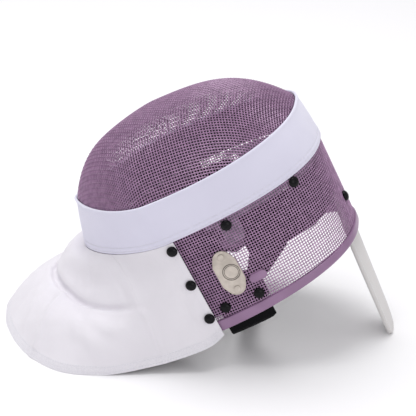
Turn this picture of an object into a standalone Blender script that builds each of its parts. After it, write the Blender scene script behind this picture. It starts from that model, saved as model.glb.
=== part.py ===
"""Fencing mask, lying face up on the hem of its bib and on the tip of its tongue.

Metres, +Z up, floor at z = 0. The chin points to -X, the crown of the head to +X and the
wearer's left side to -Y. The mask itself is modelled in its own frame, which leans back:
u runs from chin to crown, y across and f out of the face. The origin of that frame is the
widest place of the face opening, in the plane that halves the trim band.
"""
import math

import bmesh
import bpy
import numpy as np
from mathutils import Matrix, Vector

# Where the mask frame stands
LEAN = math.radians(27.6)
FRAME_HEIGHT = 0.1623

# Face opening, an egg whose crown half and chin half have their own roundness
HALF_WIDTH = 0.104
CROWN_REACH = 0.1705
CHIN_REACH = 0.1180
CROWN_POWER = 2.41
CHIN_POWER_ALONG = 1.54
CHIN_POWER_ACROSS = 1.3
RING_STEPS = 56

# Trim band
BAND_ABOVE = 0.0234
BAND_BELOW = 0.0254
BAND_CROWN_TAPER = 0.0045
BAND_CHIN_TAPER = 0.0176
BAND_WALL = 0.0023
BAND_BULGE = 0.0008
BAND_TOP_TILT = -0.0055
BAND_TOP_CURVE = 0.0100
BAND_LOW_RISE = 0.0025
BAND_LAP = 0.012
BAND_ROWS = 4

# Face mesh and side mesh
MESH_WALL = 0.0016
DOME_HEIGHT = 0.0616
DOME_PEAK = 0.028
DOME_POWER = 3.26
DOME_RINGS = 7
DOME_RING_POWER = 1.5
FACE_MESH_DROP = 0.001
SIDE_DEPTH = 0.102
SIDE_ROWS = 4
RIM_RETREAT = 0.0045
RIM_CROWN_RISE = 0.0065
RIM_CROWN_POWER = 1.5
RIM_CHIN_RISE = 0.064
RIM_CHIN_POWER = 1.4

# Rim binding
RIM_HEIGHT = 0.0125
RIM_CROWN_THIN = 0.0035
RIM_WALL = 0.0044
RIM_EASE = 0.0016

# Bib
BIB_WALL = 0.0018
BIB_REACH = 0.0955
BIB_FLARE = 0.0367
BIB_CLEAR = 0.0006
BIB_EDGE_U = 0.0085
BIB_SEAT_WIDTH = 0.0125
BIB_LOWER = 0.002
NECK_SWELL = 0.020
SKIRT_SWELL = 0.010
SKIRT_LEAN = 0.22
CORNER_DROP = 0.003
SEAT_DROP = 0.009
SIDE_CREASE = 0.45

# Tongue
TONGUE_WALL = 0.005
TONGUE_EDGE = 0.0012
TONGUE_TOP_F = -0.079
TONGUE_TOP_INSET = 0.0008
TONGUE_BOW = 0.0012
TONGUE_TIP_X = 0.0480
TONGUE_WIDTH = 0.056
TONGUE_TIP_LENGTH = 0.026
TONGUE_TIP_FLAT = 0.42
TONGUE_TIP_STEPS = 5

# Press studs. Depths are shares of the side mesh's depth, reaches of the crown's reach.
SNAP_RADIUS = 0.0058
SNAP_HEIGHT = 0.0044
SNAP_EDGE = 0.0010
SNAP_SIDES = 12
BIB_SNAP_INSET = 0.0050
BIB_SNAP_FIRST = 0.0843
BIB_SNAP_PITCH = 0.4167
CROWN_SNAP_DEPTH = 0.6529

# Badge plate, its rivets and the strap tabs, placed in the same shares
BADGE_PLACE = 0.2674
BADGE_DEPTH = 0.5549
BADGE_LENGTH = 0.053
BADGE_WIDTH = 0.0265
BADGE_END_WIDTH = 0.0204
BADGE_STRAIGHT = 0.024
BADGE_END_START = math.radians(25)
BADGE_WALL = 0.0012
RIVET_RADIUS = 0.0036
RIVET_HEIGHT = 0.0010
RIVET_EDGE = 0.0003
RIVET_PITCH = 0.039
TAB_PLACE = 0.4176
TAB_DEPTH = 0.7216
TAB_LENGTH = 0.0200
TAB_WIDTH = 0.0098
TAB_WALL = 0.0018
ARC_STEPS = 6

# Padding and back strap inside the mesh
PAD_WALL = 0.006
PAD_CLEAR = 0.0009
LINER_WALL = 0.0015
STRAP_WALL = 0.003
STRAP_WIDTH = 0.055
STRAP_FIRST_U = 0.0135
STRAP_HIDDEN = 0.026
STRAP_DROP = 0.0080
STRAP_MIDDLE_WIDTH = 0.022
STRAP_TAPER = 0.45
STRAP_SAG = 0.0256
STRAP_SAG_POWER = 2.6
STRAP_COLUMNS = 4
STRAP_ROWS = 8

# Gap between pieces that touch
SEAT_GAP = 0.0003

# Edges sharper than this are drawn as edges
SHARP_ANGLE = math.radians(40)

# Snaps on the mesh of each side: name, place as a share of the crown's reach, depth as a share
# of the side mesh's depth
MESH_SNAPS = (
    ("1", 0.3900, 0.0745),
    ("2", 0.8364, 0.0451),
    ("3", 0.1402, 0.8892),
    ("4", 0.3742, 0.8941),
)

# Bib sections from the middle of the chin to the side edge. The loop angle is the place of the
# top edge on the band, in degrees from the crown. Fore is 0 at the chin, 1 at the front of the
# hem and -1 at the rim's corner. Side is 0 in the middle, 1 at the mesh wall and 2 at the
# hem's widest place. Up is 1 at the band's lowest point. Swells are shares of the two swells.
BIB_SECTIONS = (
    # name, loop angle, crease fore, side, up, hem fore, side, up, near neck, far neck, skirt
    ("throat", 180.0, 0.40, 0.00, 0.56, 1.000, 0.000, 0.00, 0.55, 0.55, 1.20),
    ("front", 170.0, 0.33, 0.23, 0.55, 0.880, 0.450, 0.00, 0.40, 0.70, 1.20),
    ("front_seam", 160.0, 0.20, 0.44, 0.54, 0.550, 0.970, 0.00, 0.15, 0.80, 1.30),
    ("jaw", 151.0, -0.06, 0.76, 0.55, 0.080, 1.900, 0.00, -0.10, 0.80, 1.60),
    ("cheek", 142.0, -0.26, 0.97, 0.65, -0.260, 1.970, 0.00, 0.00, 0.50, 1.60),
    ("side_seam", 133.0, -0.47, 1.18, 0.79, -0.627, 1.630, 0.128, 0.35, 0.35, 0.50),
    ("side", 108.0, -0.70, 1.18, 1.02, -0.867, 1.430, 0.290, 0.10, 0.10, 0.00),
)
BIB_STEPS = 3
NECK_ROWS = 4
SKIRT_ROWS = 5

# Tongue on the way to its rounded tip: share of the way, share of the width, share of the bow
TONGUE_SECTIONS = (
    (0.00, 0.60, 0.0),
    (0.17, 0.84, 0.8),
    (0.36, 1.00, 1.0),
    (0.60, 0.94, 0.7),
    (0.80, 0.87, 0.3),
    (1.00, 0.79, 0.0),
)

# Cheek pad's rear edge, in the same shares: depth, u
CHEEK_PAD_EDGE = (
    (0.0696, 0.2698),
    (0.2412, 0.2933),
    (0.6137, 0.3402),
    (0.6578, 0.4252),
    (0.9716, 0.4252),
)
CHEEK_PAD_FRONT_ANGLE = 92.0
CHEEK_PAD_COLUMNS = 9

# Crown pad's lower edge: degrees from the crown, share of the side mesh's depth
CROWN_PAD_EDGE = (
    (65.0, 0.3000),
    (62.0, 0.4373),
    (54.0, 0.5549),
    (34.0, 0.5843),
    (0.0, 0.4765),
)
CROWN_PAD_TOP = 0.0794
CROWN_PAD_ROWS = 3

# Grey liner's lower edge under the band: degrees from the crown, share of the side mesh's depth
LINER_EDGE = (
    (78.5, 0.0549),
    (74.5, 0.0598),
    (73.5, 0.3000),
    (67.0, 0.3000),
    (66.0, 0.0598),
    (0.0, 0.0598),
)
LINER_TOP = 0.0

# Colours, roughness and metallic value of the materials
FINISHES = {
    "wire": ((0.30, 0.17, 0.31, 1.0), 0.35, 0.3),
    "white_cloth": ((0.83, 0.82, 0.84, 1.0), 0.8, 0.0),
    "band_cloth": ((0.72, 0.70, 0.82, 1.0), 0.75, 0.0),
    "purple_plastic": ((0.33, 0.17, 0.34, 1.0), 0.3, 0.0),
    "black_plastic": ((0.01, 0.01, 0.011, 1.0), 0.3, 0.0),
    "black_cloth": ((0.012, 0.012, 0.013, 1.0), 0.9, 0.0),
    "grey_cloth": ((0.28, 0.25, 0.30, 1.0), 0.9, 0.0),
    "cream_metal": ((0.62, 0.57, 0.50, 1.0), 0.35, 0.6),
    "tongue_cover": ((0.70, 0.68, 0.65, 1.0), 0.6, 0.0),
}


def clear_scene():
    for obj in list(bpy.data.objects):
        bpy.data.objects.remove(obj, do_unlink=True)


def material(name):
    mat = bpy.data.materials.get(name)
    if mat is None:
        colour, roughness, metallic = FINISHES[name]
        mat = bpy.data.materials.new(name)
        mat.use_nodes = True
        shader = mat.node_tree.nodes["Principled BSDF"]
        shader.inputs["Base Color"].default_value = colour
        shader.inputs["Roughness"].default_value = roughness
        shader.inputs["Metallic"].default_value = metallic
    return mat


def add_object(name, mesh, finish, parent):
    obj = bpy.data.objects.new(name, mesh)
    PARTS.objects.link(obj)
    obj.parent = parent
    mesh.materials.append(material(finish))
    mesh.shade_smooth()
    mesh.set_sharp_from_angle(angle=SHARP_ANGLE)
    return obj


def add_empty(name, parent=None):
    empty = bpy.data.objects.new(name, None)
    PARTS.objects.link(empty)
    empty.parent = parent
    return empty


# Outline of the face opening

def signed_power(value, power):
    return np.sign(value) * np.abs(value) ** power


def loop_point(angle, f, offset=0.0):
    """Place on the wall, in the mask frame, at an angle in degrees from the crown."""
    crown, chin = reaches(f)
    cos, sin = math.cos(math.radians(angle)), math.sin(math.radians(angle))
    if cos > 0:
        u = crown * signed_power(cos, 2 / CROWN_POWER)
        y = -HALF_WIDTH * signed_power(sin, 2 / CROWN_POWER)
    else:
        u = chin * signed_power(cos, 2 / CHIN_POWER_ALONG)
        y = -HALF_WIDTH * signed_power(sin, 2 / CHIN_POWER_ACROSS)
    point = np.array([u, y, f])
    if offset:
        point = point + offset * loop_normal(angle, f)
    return point


def loop_normal(angle, f):
    """Direction out of the wall, square to the mask frame's f."""
    step = 0.5
    along = loop_point(angle + step, f) - loop_point(angle - step, f)
    normal = np.array([-along[1], along[0], 0.0])
    return normal / np.linalg.norm(normal)


def reaches(f):
    """Crown and chin reach of the wall at a height f."""
    share = (f + BAND_BELOW) / (BAND_ABOVE + BAND_BELOW)
    up = min(max(share, 0.0), 1.0)
    down = max(-(f + BAND_BELOW), 0.0) / SIDE_DEPTH
    crown = CROWN_REACH - BAND_CROWN_TAPER * up - RIM_RETREAT * down
    chin = CHIN_REACH - BAND_CHIN_TAPER * up
    return crown, chin


def band_top(u):
    """Height f of the band's upper edge."""
    share = u / CROWN_REACH
    return BAND_ABOVE + BAND_TOP_TILT * share + BAND_TOP_CURVE * share * share


def band_bottom(u):
    """Height f of the band's lower edge."""
    return -BAND_BELOW + BAND_LOW_RISE * max(u, 0.0) / CROWN_REACH


def side_bottom(u):
    """Height f of the side mesh's lower edge, where the rim binding starts."""
    crownward = max(u, 0.0) / CROWN_REACH
    base = -BAND_BELOW - SIDE_DEPTH + RIM_CROWN_RISE * crownward ** RIM_CROWN_POWER
    if u < BIB_EDGE_U:
        chinward = (BIB_EDGE_U - u) / (BIB_EDGE_U + CHIN_REACH)
        base += RIM_CHIN_RISE * chinward ** RIM_CHIN_POWER
    return base


def height_at(depth):
    """Height f at a share of the side mesh's depth."""
    return -BAND_BELOW - SIDE_DEPTH * depth


def rim_height(u):
    """Height of the rim binding, thinner towards the crown."""
    return RIM_HEIGHT - RIM_CROWN_THIN * max(u, 0.0) / CROWN_REACH


def even_angles(count):
    """Angles that divide the loop evenly by length, the first at the crown."""
    dense = np.linspace(0.0, 360.0, 1441)
    points = np.array([loop_point(a, -BAND_BELOW) for a in dense])
    lengths = np.r_[0.0, np.cumsum(np.linalg.norm(np.diff(points, axis=0), axis=1))]
    return [float(a) for a in np.interp(np.linspace(0, lengths[-1], count + 1)[:-1], lengths, dense)]


def angle_at(u):
    """Angle on the near side at which the wall below the band reaches u."""
    low, high = 0.0, 180.0
    for _ in range(50):
        middle = (low + high) / 2
        if loop_point(middle, -BAND_BELOW)[0] > u:
            low = middle
        else:
            high = middle
    return (low + high) / 2


# Meshes from grids of points

def grid_mesh(rows, closed):
    """Open surface through rows of points. Closed rows run round a ring."""
    bm = bmesh.new()
    verts = [[bm.verts.new(Vector(p)) for p in row] for row in rows]
    columns = len(rows[0])
    for above, below in zip(verts, verts[1:]):
        for i in range(columns if closed else columns - 1):
            j = (i + 1) % columns
            bm.faces.new((above[i], above[j], below[j], below[i]))
    return bm, verts


def to_mesh(name, bm):
    mesh = bpy.data.meshes.new(name)
    bm.to_mesh(mesh)
    bm.free()
    return mesh


def solidify(obj, thickness, offset=-1.0):
    shell = obj.modifiers.new("wall", "SOLIDIFY")
    shell.thickness = thickness
    shell.offset = offset
    shell.use_even_offset = True
    shell.use_quality_normals = True


def ring_sweep(name, section, angles):
    """Closed ring whose section(angle) gives the corners of a closed outline."""
    bm = bmesh.new()
    rings = [[bm.verts.new(Vector(p)) for p in section(a)] for a in angles]
    for here, there in zip(rings, rings[1:] + rings[:1]):
        corners = len(here)
        for i in range(corners):
            j = (i + 1) % corners
            bm.faces.new((here[i], here[j], there[j], there[i]))
    bmesh.ops.recalc_face_normals(bm, faces=bm.faces)
    return to_mesh(name, bm)


# Mask pieces

def trim_band(frame, angles):
    rows = []
    for k in range(BAND_ROWS + 1):
        share = k / BAND_ROWS
        row = []
        for a in angles:
            top = band_top(loop_point(a, BAND_ABOVE)[0])
            f = top + (band_bottom(loop_point(a, -BAND_BELOW)[0]) - top) * share
            bulge = BAND_BULGE * 4 * share * (1 - share)
            row.append(loop_point(a, f, bulge))
        rows.append(row)
    bm, _ = grid_mesh(rows, True)
    obj = add_object("trim_band", to_mesh("trim_band", bm), "band_cloth", frame)
    solidify(obj, BAND_WALL, 1.0)


def face_mesh(frame, angles):
    flange, foot = [], []
    for a in angles:
        top = band_top(loop_point(a, BAND_ABOVE)[0])
        flange.append(loop_point(a, top - BAND_LAP, -SEAT_GAP))
        foot.append(loop_point(a, top - FACE_MESH_DROP, -SEAT_GAP))
    rows = [flange]
    for k in range(DOME_RINGS):
        share = 1 - (k / DOME_RINGS) ** DOME_RING_POWER
        rows.append([dome_point(p, share) for p in foot])
    bm, verts = grid_mesh(rows[::-1], True)
    bm.faces.new(verts[0][::-1])
    bmesh.ops.triangulate(bm, faces=[f for f in bm.faces if len(f.verts) > 4])
    obj = add_object("face_mesh", to_mesh("face_mesh", bm), "wire", frame)
    solidify(obj, MESH_WALL)


def dome_point(foot, share):
    """Point of the dome on the way from its peak (share 0) to a point of its foot (share 1)."""
    u = DOME_PEAK + (foot[0] - DOME_PEAK) * share
    y = foot[1] * share
    base = band_top(DOME_PEAK) + (foot[2] - band_top(DOME_PEAK)) * share ** 2
    return np.array([u, y, base + DOME_HEIGHT * (1 - share ** DOME_POWER)])


def side_mesh(frame, angles):
    rows = [[loop_point(a, -BAND_BELOW + BAND_LAP, -SEAT_GAP) for a in angles]]
    for k in range(SIDE_ROWS + 1):
        row = []
        for a in angles:
            bottom = side_bottom(loop_point(a, -BAND_BELOW)[0])
            f = -BAND_BELOW + (bottom + BAND_BELOW) * k / SIDE_ROWS
            row.append(loop_point(a, f, -SEAT_GAP))
        rows.append(row)
    bm, _ = grid_mesh(rows, True)
    obj = add_object("side_mesh", to_mesh("side_mesh", bm), "wire", frame)
    solidify(obj, MESH_WALL)


def rim_binding(frame, angles):
    middle = -SEAT_GAP - MESH_WALL / 2
    half = RIM_WALL / 2
    flat = half - RIM_EASE / 2

    def section(a):
        u = loop_point(a, -BAND_BELOW)[0]
        top = side_bottom(u) - SEAT_GAP
        low = top - rim_height(u)
        places = (
            (flat, top), (half, top - RIM_EASE), (half, low + RIM_EASE), (flat, low),
            (-flat, low), (-half, low + RIM_EASE), (-half, top - RIM_EASE), (-flat, top),
        )
        return [loop_point(a, f, middle + out) for out, f in places]

    add_object("rim_binding", ring_sweep("rim_binding", section, angles), "purple_plastic", frame)


# Bib

def frame_to_floor(p):
    """A point of the mask frame in the frame that stands on the floor."""
    u, y, f = p
    cos, sin = math.cos(LEAN), math.sin(LEAN)
    return np.array([u * cos - f * sin, y, FRAME_HEIGHT + u * sin + f * cos])


def smooth_between(values, steps):
    """Catmull-Rom curve through rows of values, with steps pieces between two rows."""
    values = [np.asarray(v, float) for v in values]
    padded = [2 * values[0] - values[1]] + values + [2 * values[-1] - values[-2]]
    out = []
    for i in range(len(values) - 1):
        a, b, c, d = padded[i:i + 4]
        for k in range(steps):
            t = k / steps
            out.append(0.5 * (2 * b + (c - a) * t + (2 * a - 5 * b + 4 * c - d) * t * t
                              + (3 * b - a - 3 * c + d) * t ** 3))
    out.append(values[-1])
    return out


def bib_sections():
    """Top angle, crease, hem and swells of the near half, from the throat to the seat."""
    chin = frame_to_floor(loop_point(180.0, -BAND_BELOW))
    corner = frame_to_floor(loop_point(angle_at(BIB_EDGE_U), -BAND_BELOW - SIDE_DEPTH - RIM_HEIGHT))

    def place(fore, side, up):
        x = chin[0] - BIB_REACH * fore if fore > 0 else chin[0] - (corner[0] - chin[0]) * fore
        y = HALF_WIDTH * min(side, 1.0) + BIB_FLARE * max(side - 1.0, 0.0)
        return np.array([x, -y, chin[2] * up])

    out = []
    for name, angle, kx, ky, kz, hx, hy, hz, near, far, skirt in BIB_SECTIONS:
        out.append((angle, place(kx, ky, kz), place(hx, hy, hz), (near, far, skirt)))
    out.append(bib_side_line(0.0))
    return out


def bib_side_line(share):
    """Section of the bib that lies on the side mesh, from its seat (0) to its edge (1)."""
    angle = angle_at(BIB_EDGE_U - BIB_SEAT_WIDTH * (1 - share))
    drop = SEAT_DROP + (CORNER_DROP - SEAT_DROP) * share
    hem_f = -BAND_BELOW - SIDE_DEPTH - RIM_HEIGHT - drop
    crease_f = -BAND_BELOW + (hem_f + BAND_BELOW) * SIDE_CREASE
    crease, hem = [frame_to_floor(loop_point(angle, f, bib_side_offset(f))) for f in (crease_f, hem_f)]
    return angle, crease, hem, (0.0, 0.0, 0.0)


def bib_side_offset(f):
    """Distance from the wall to the bib's outer face on the side mesh, wider over the rim."""
    share = -(f + BAND_BELOW) / SIDE_DEPTH
    return BIB_CLEAR + BIB_WALL + BIB_LOWER * min(max(share, 0.0), 1.0)


def swollen(start, end, swell, lean, count):
    """Arc of count pieces from start towards end, that swells up and out of its chord."""
    chord = end - start
    side = np.cross(np.cross(chord, (0.0, 0.0, 1.0)), chord)
    out = side / np.linalg.norm(side)
    control = start + chord * lean + out * swell * 2
    shares = [k / count for k in range(count)]
    return [(1 - t) ** 2 * start + 2 * t * (1 - t) * control + t * t * end for t in shares]


def bib_profile(top, crease, hem, neck, skirt):
    """Points of one section from the band to the hem, with the crease as a valley."""
    upper = swollen(top, crease, NECK_SWELL * neck, 0.5, NECK_ROWS)
    lower = swollen(crease, hem, SKIRT_SWELL * skirt, SKIRT_LEAN, SKIRT_ROWS)
    return upper + lower + [hem]


def bib(parent):
    sections = bib_sections()
    seat = [bib_side_line(k / BIB_STEPS) for k in range(1, BIB_STEPS + 1)]
    angles, creases, hems, swells = [
        smooth_between([row[k] for row in sections], BIB_STEPS) + [np.array(row[k]) for row in seat]
        for k in range(4)
    ]
    near, far = [], []
    for angle, crease, hem, (near_neck, far_neck, skirt) in zip(angles, creases, hems, swells):
        top_f = -BAND_BELOW - SEAT_GAP
        top = frame_to_floor(loop_point(float(angle), top_f, bib_side_offset(top_f)))
        hem = np.maximum(hem, (-np.inf, -np.inf, 0.0))
        near.append(bib_profile(top, crease, hem, near_neck, skirt))
        across = bib_profile(top, crease, hem, far_neck, skirt)
        far.append([p * np.array([1, -1, 1]) for p in across])
    outer = np.array(near[::-1] + far[1:])
    add_object("bib", shell_mesh("bib", outer, inner_face(outer)), "white_cloth", parent)


def inner_face(outer):
    """The outer face moved in by the wall, with the hem's edge level."""
    along = np.gradient(outer, axis=0)
    down = np.gradient(outer, axis=1)
    normal = np.cross(down, along)
    normal /= np.linalg.norm(normal, axis=2, keepdims=True)
    inner = outer + normal * BIB_WALL
    inner[:, -1, 2] = outer[:, -1, 2]
    return inner


def shell_mesh(name, outer, inner):
    """Closed wall between two grids of the same size."""
    bm = bmesh.new()
    out = [[bm.verts.new(Vector(p)) for p in row] for row in outer]
    ins = [[bm.verts.new(Vector(p)) for p in row] for row in inner]
    m, n = len(out), len(out[0])
    for i in range(m - 1):
        for j in range(n - 1):
            bm.faces.new((out[i][j], out[i + 1][j], out[i + 1][j + 1], out[i][j + 1]))
            bm.faces.new((ins[i][j], ins[i][j + 1], ins[i + 1][j + 1], ins[i + 1][j]))
    edge = [(i, 0) for i in range(m)] + [(m - 1, j) for j in range(1, n)]
    edge += [(i, n - 1) for i in range(m - 2, -1, -1)] + [(0, j) for j in range(n - 2, 0, -1)]
    for (i, j), (k, l) in zip(edge, edge[1:] + edge[:1]):
        bm.faces.new((out[i][j], ins[i][j], ins[k][l], out[k][l]))
    bmesh.ops.recalc_face_normals(bm, faces=bm.faces)
    return to_mesh(name, bm)


# Tongue

def tongue_sections(length):
    """Places along the tongue, half widths and bow there, from its top to its rounded tip."""
    straight = 1 - TONGUE_TIP_LENGTH / length
    rows = [(share * straight, width * TONGUE_WIDTH / 2, bow * TONGUE_BOW)
            for share, width, bow in TONGUE_SECTIONS]
    end = rows[-1][1]
    for k in range(1, TONGUE_TIP_STEPS + 1):
        turn = math.pi / 2 * k / TONGUE_TIP_STEPS
        half = end * (TONGUE_TIP_FLAT + (1 - TONGUE_TIP_FLAT) * math.cos(turn))
        rows.append((straight + (1 - straight) * math.sin(turn), half, 0.0))
    return rows


def tongue(parent):
    """Slightly bowed plate from inside the crown to the floor, its tip cut level with the floor."""
    clear = SEAT_GAP * 2 + MESH_WALL + TONGUE_TOP_INSET
    start = frame_to_floor(loop_point(0.0, TONGUE_TOP_F, -clear))
    rim = frame_to_floor(loop_point(0.0, side_bottom(CROWN_REACH)))
    tip = np.array([rim[0] + TONGUE_TIP_X, 0.0, 0.0])
    length = np.linalg.norm(tip - start)
    along = (tip - start) / length
    inward = np.array([along[2], 0.0, -along[0]])
    bm = bmesh.new()
    rings = []
    for share, half, bow in tongue_sections(length):
        flat = half - TONGUE_EDGE
        outline = ((-half, TONGUE_EDGE), (-flat, 0.0), (flat, 0.0), (half, TONGUE_EDGE),
                   (half, TONGUE_WALL - TONGUE_EDGE), (flat, TONGUE_WALL),
                   (-flat, TONGUE_WALL), (-half, TONGUE_WALL - TONGUE_EDGE))
        ring = []
        for y, deep in outline:
            x, _, z = start + along * length * share + inward * (bow + deep)
            ring.append(bm.verts.new(Vector((x, y, max(z, 0.0)))))
        rings.append(ring)
    for here, there in zip(rings, rings[1:]):
        corners = len(here)
        for i in range(corners):
            j = (i + 1) % corners
            bm.faces.new((here[i], here[j], there[j], there[i]))
    bm.faces.new(rings[0])
    bm.faces.new(rings[-1][::-1])
    bmesh.ops.recalc_face_normals(bm, faces=bm.faces)
    add_object("tongue", to_mesh("tongue", bm), "tongue_cover", parent)


# Press studs, plate and tabs

def turned(name, profile, sides, finish, parent, matrix):
    """Solid turned from a profile of radius and height pairs that starts and ends on the axis."""
    mesh = bpy.data.meshes.new(name)
    mesh.from_pydata([(r, 0.0, h) for r, h in profile],
                     [(i, i + 1) for i in range(len(profile) - 1)], [])
    obj = add_object(name, mesh, finish, parent)
    screw = obj.modifiers.new("turn", "SCREW")
    screw.steps = sides
    screw.render_steps = sides
    screw.use_merge_vertices = True
    screw.merge_threshold = 0.00001
    screw.use_smooth_shade = True
    obj.matrix_local = matrix


def wall_matrix(angle, f, offset):
    """Place on the wall: local z points out, local y runs along f and local x along the loop."""
    centre = loop_point(angle, f, offset)
    z = Vector(loop_normal(angle, f))
    y = Vector((0.0, 0.0, 1.0))
    x = y.cross(z).normalized()
    y = z.cross(x).normalized()
    matrix = Matrix((x, y, z)).transposed().to_4x4()
    matrix.translation = Vector(centre)
    return matrix


def dome_profile(radius, height, edge):
    steps = 3
    points = [(0.0, height)]
    for k in range(1, steps + 1):
        a = math.pi / 2 * k / steps
        points.append((radius * math.sin(a), edge + (height - edge) * math.cos(a)))
    points += [(radius, 0.0), (0.0, 0.0)]
    return points


def snap(name, angle, f, offset, frame):
    profile = dome_profile(SNAP_RADIUS, SNAP_HEIGHT, SNAP_EDGE)
    turned(name, profile, SNAP_SIDES, "black_plastic", frame, wall_matrix(angle, f, offset))


def snaps(frame):
    for side, sign in (("left", 1), ("right", -1)):
        for number, reach, depth in MESH_SNAPS:
            angle = sign * angle_at(CROWN_REACH * reach)
            snap(f"mesh_snap_{side}_{number}", angle, height_at(depth), 0.0, frame)
        for k in range(3):
            f = height_at(BIB_SNAP_FIRST + BIB_SNAP_PITCH * k)
            offset = bib_side_offset(f) + SEAT_GAP
            angle = sign * angle_at(BIB_EDGE_U - BIB_SNAP_INSET)
            snap(f"bib_snap_{side}_{k + 1}", angle, f, offset, frame)
    snap("crown_snap", 0.0, height_at(CROWN_SNAP_DEPTH), 0.0, frame)


def flat_plate(name, outline, thickness, finish, parent, matrix):
    """Flat closed outline as a filled 2D curve with thickness, made a mesh and placed."""
    curve = bpy.data.curves.new(name, "CURVE")
    curve.dimensions = "2D"
    curve.fill_mode = "BOTH"
    curve.extrude = thickness / 2
    spline = curve.splines.new("POLY")
    spline.points.add(len(outline) - 1)
    for point, (x, y) in zip(spline.points, outline):
        point.co = (x, y, 0.0, 1.0)
    spline.use_cyclic_u = True
    holder = bpy.data.objects.new(name + "_outline", curve)
    PARTS.objects.link(holder)
    graph = bpy.context.evaluated_depsgraph_get()
    mesh = bpy.data.meshes.new_from_object(holder.evaluated_get(graph))
    bpy.data.objects.remove(holder, do_unlink=True)
    mesh.name = name
    bm = bmesh.new()
    bm.from_mesh(mesh)
    bmesh.ops.remove_doubles(bm, verts=bm.verts, dist=0.00001)
    bmesh.ops.recalc_face_normals(bm, faces=bm.faces)
    bm.to_mesh(mesh)
    bm.free()
    obj = add_object(name, mesh, finish, parent)
    obj.matrix_local = matrix


def badge_outline():
    """Lozenge with a straight middle and rounded ends."""
    half_length, half_width, end = BADGE_LENGTH / 2, BADGE_WIDTH / 2, BADGE_END_WIDTH / 2
    points = []
    for sign in (1, -1):
        points.append((sign * half_width, -sign * BADGE_STRAIGHT / 2))
        points.append((sign * half_width, sign * BADGE_STRAIGHT / 2))
        for k in range(ARC_STEPS + 1):
            a = BADGE_END_START + (math.pi - 2 * BADGE_END_START) * k / ARC_STEPS
            points.append((sign * end * math.cos(a), sign * (half_length - end + end * math.sin(a))))
    return points


def stadium(length, width):
    """Outline with straight long sides and round ends."""
    radius = width / 2
    points = []
    for sign in (1, -1):
        for k in range(ARC_STEPS + 1):
            a = -math.pi / 2 + math.pi * k / ARC_STEPS
            x = length / 2 - radius + radius * math.cos(a)
            points.append((sign * x, sign * radius * math.sin(a)))
    return points


def badge(frame):
    angle = angle_at(CROWN_REACH * BADGE_PLACE)
    middle = height_at(BADGE_DEPTH)
    offset = SEAT_GAP + BADGE_WALL / 2
    flat_plate("badge_plate", badge_outline(), BADGE_WALL, "cream_metal", frame,
               wall_matrix(angle, middle, offset))
    for number, side in (("1", 1), ("2", -1)):
        f = middle + side * RIVET_PITCH / 2
        profile = dome_profile(RIVET_RADIUS, RIVET_HEIGHT, RIVET_EDGE)
        turned(f"badge_rivet_{number}", profile, SNAP_SIDES, "cream_metal", frame,
               wall_matrix(angle, f, 2 * SEAT_GAP + BADGE_WALL))


def strap_tabs(frame):
    for side, sign in (("left", 1), ("right", -1)):
        angle = sign * angle_at(CROWN_REACH * TAB_PLACE)
        flat_plate(f"strap_tab_{side}", stadium(TAB_LENGTH, TAB_WIDTH), TAB_WALL, "purple_plastic",
                   frame, wall_matrix(angle, height_at(TAB_DEPTH), SEAT_GAP + TAB_WALL / 2))


# Padding and strap inside the mesh

def wall_patch(name, rows, wall, finish, frame):
    """Padding that lies inside the side mesh."""
    bm, _ = grid_mesh(rows, False)
    obj = add_object(name, to_mesh(name, bm), finish, frame)
    solidify(obj, wall)


def inside_point(angle, f):
    """Place just inside the side mesh."""
    return loop_point(angle, f, -SEAT_GAP - MESH_WALL - PAD_CLEAR)


def cheek_pads(frame, angles):
    for side, sign in (("left", 1), ("right", -1)):
        rows = []
        for depth, reach in CHEEK_PAD_EDGE:
            rear = angle_at(CROWN_REACH * reach)
            inner = [a for a in angles if rear + 1 < a < CHEEK_PAD_FRONT_ANGLE - 1]
            steps = [rear] + inner + [CHEEK_PAD_FRONT_ANGLE]
            shares = np.linspace(0, 1, CHEEK_PAD_COLUMNS)
            picks = np.interp(shares, np.linspace(0, 1, len(steps)), steps)
            row = [inside_point(sign * a, height_at(depth)) for a in picks]
            rows.append(row if sign > 0 else row[::-1])
        wall_patch(f"cheek_pad_{side}", rows, PAD_WALL, "black_cloth", frame)


def edge_depth(table, angle):
    """Depth of a strip's lower edge from its table."""
    places = [row[0] for row in table][::-1]
    depths = [row[1] for row in table][::-1]
    return float(np.interp(abs(angle), places, depths))


def ring_strip(name, table, top, wall, steps, finish, frame, angles):
    """Strip inside the mesh round the crown, from one side to the other."""
    last = table[0][0]
    half = sorted({row[0] for row in table} | {a for a in angles if a < last - 1})
    around = [-a for a in half[:0:-1]] + half
    rows = []
    for k in range(steps + 1):
        depths = [top + (edge_depth(table, a) - top) * k / steps for a in around]
        rows.append([inside_point(a, height_at(depth)) for a, depth in zip(around, depths)])
    wall_patch(name, rows, wall, finish, frame)


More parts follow.
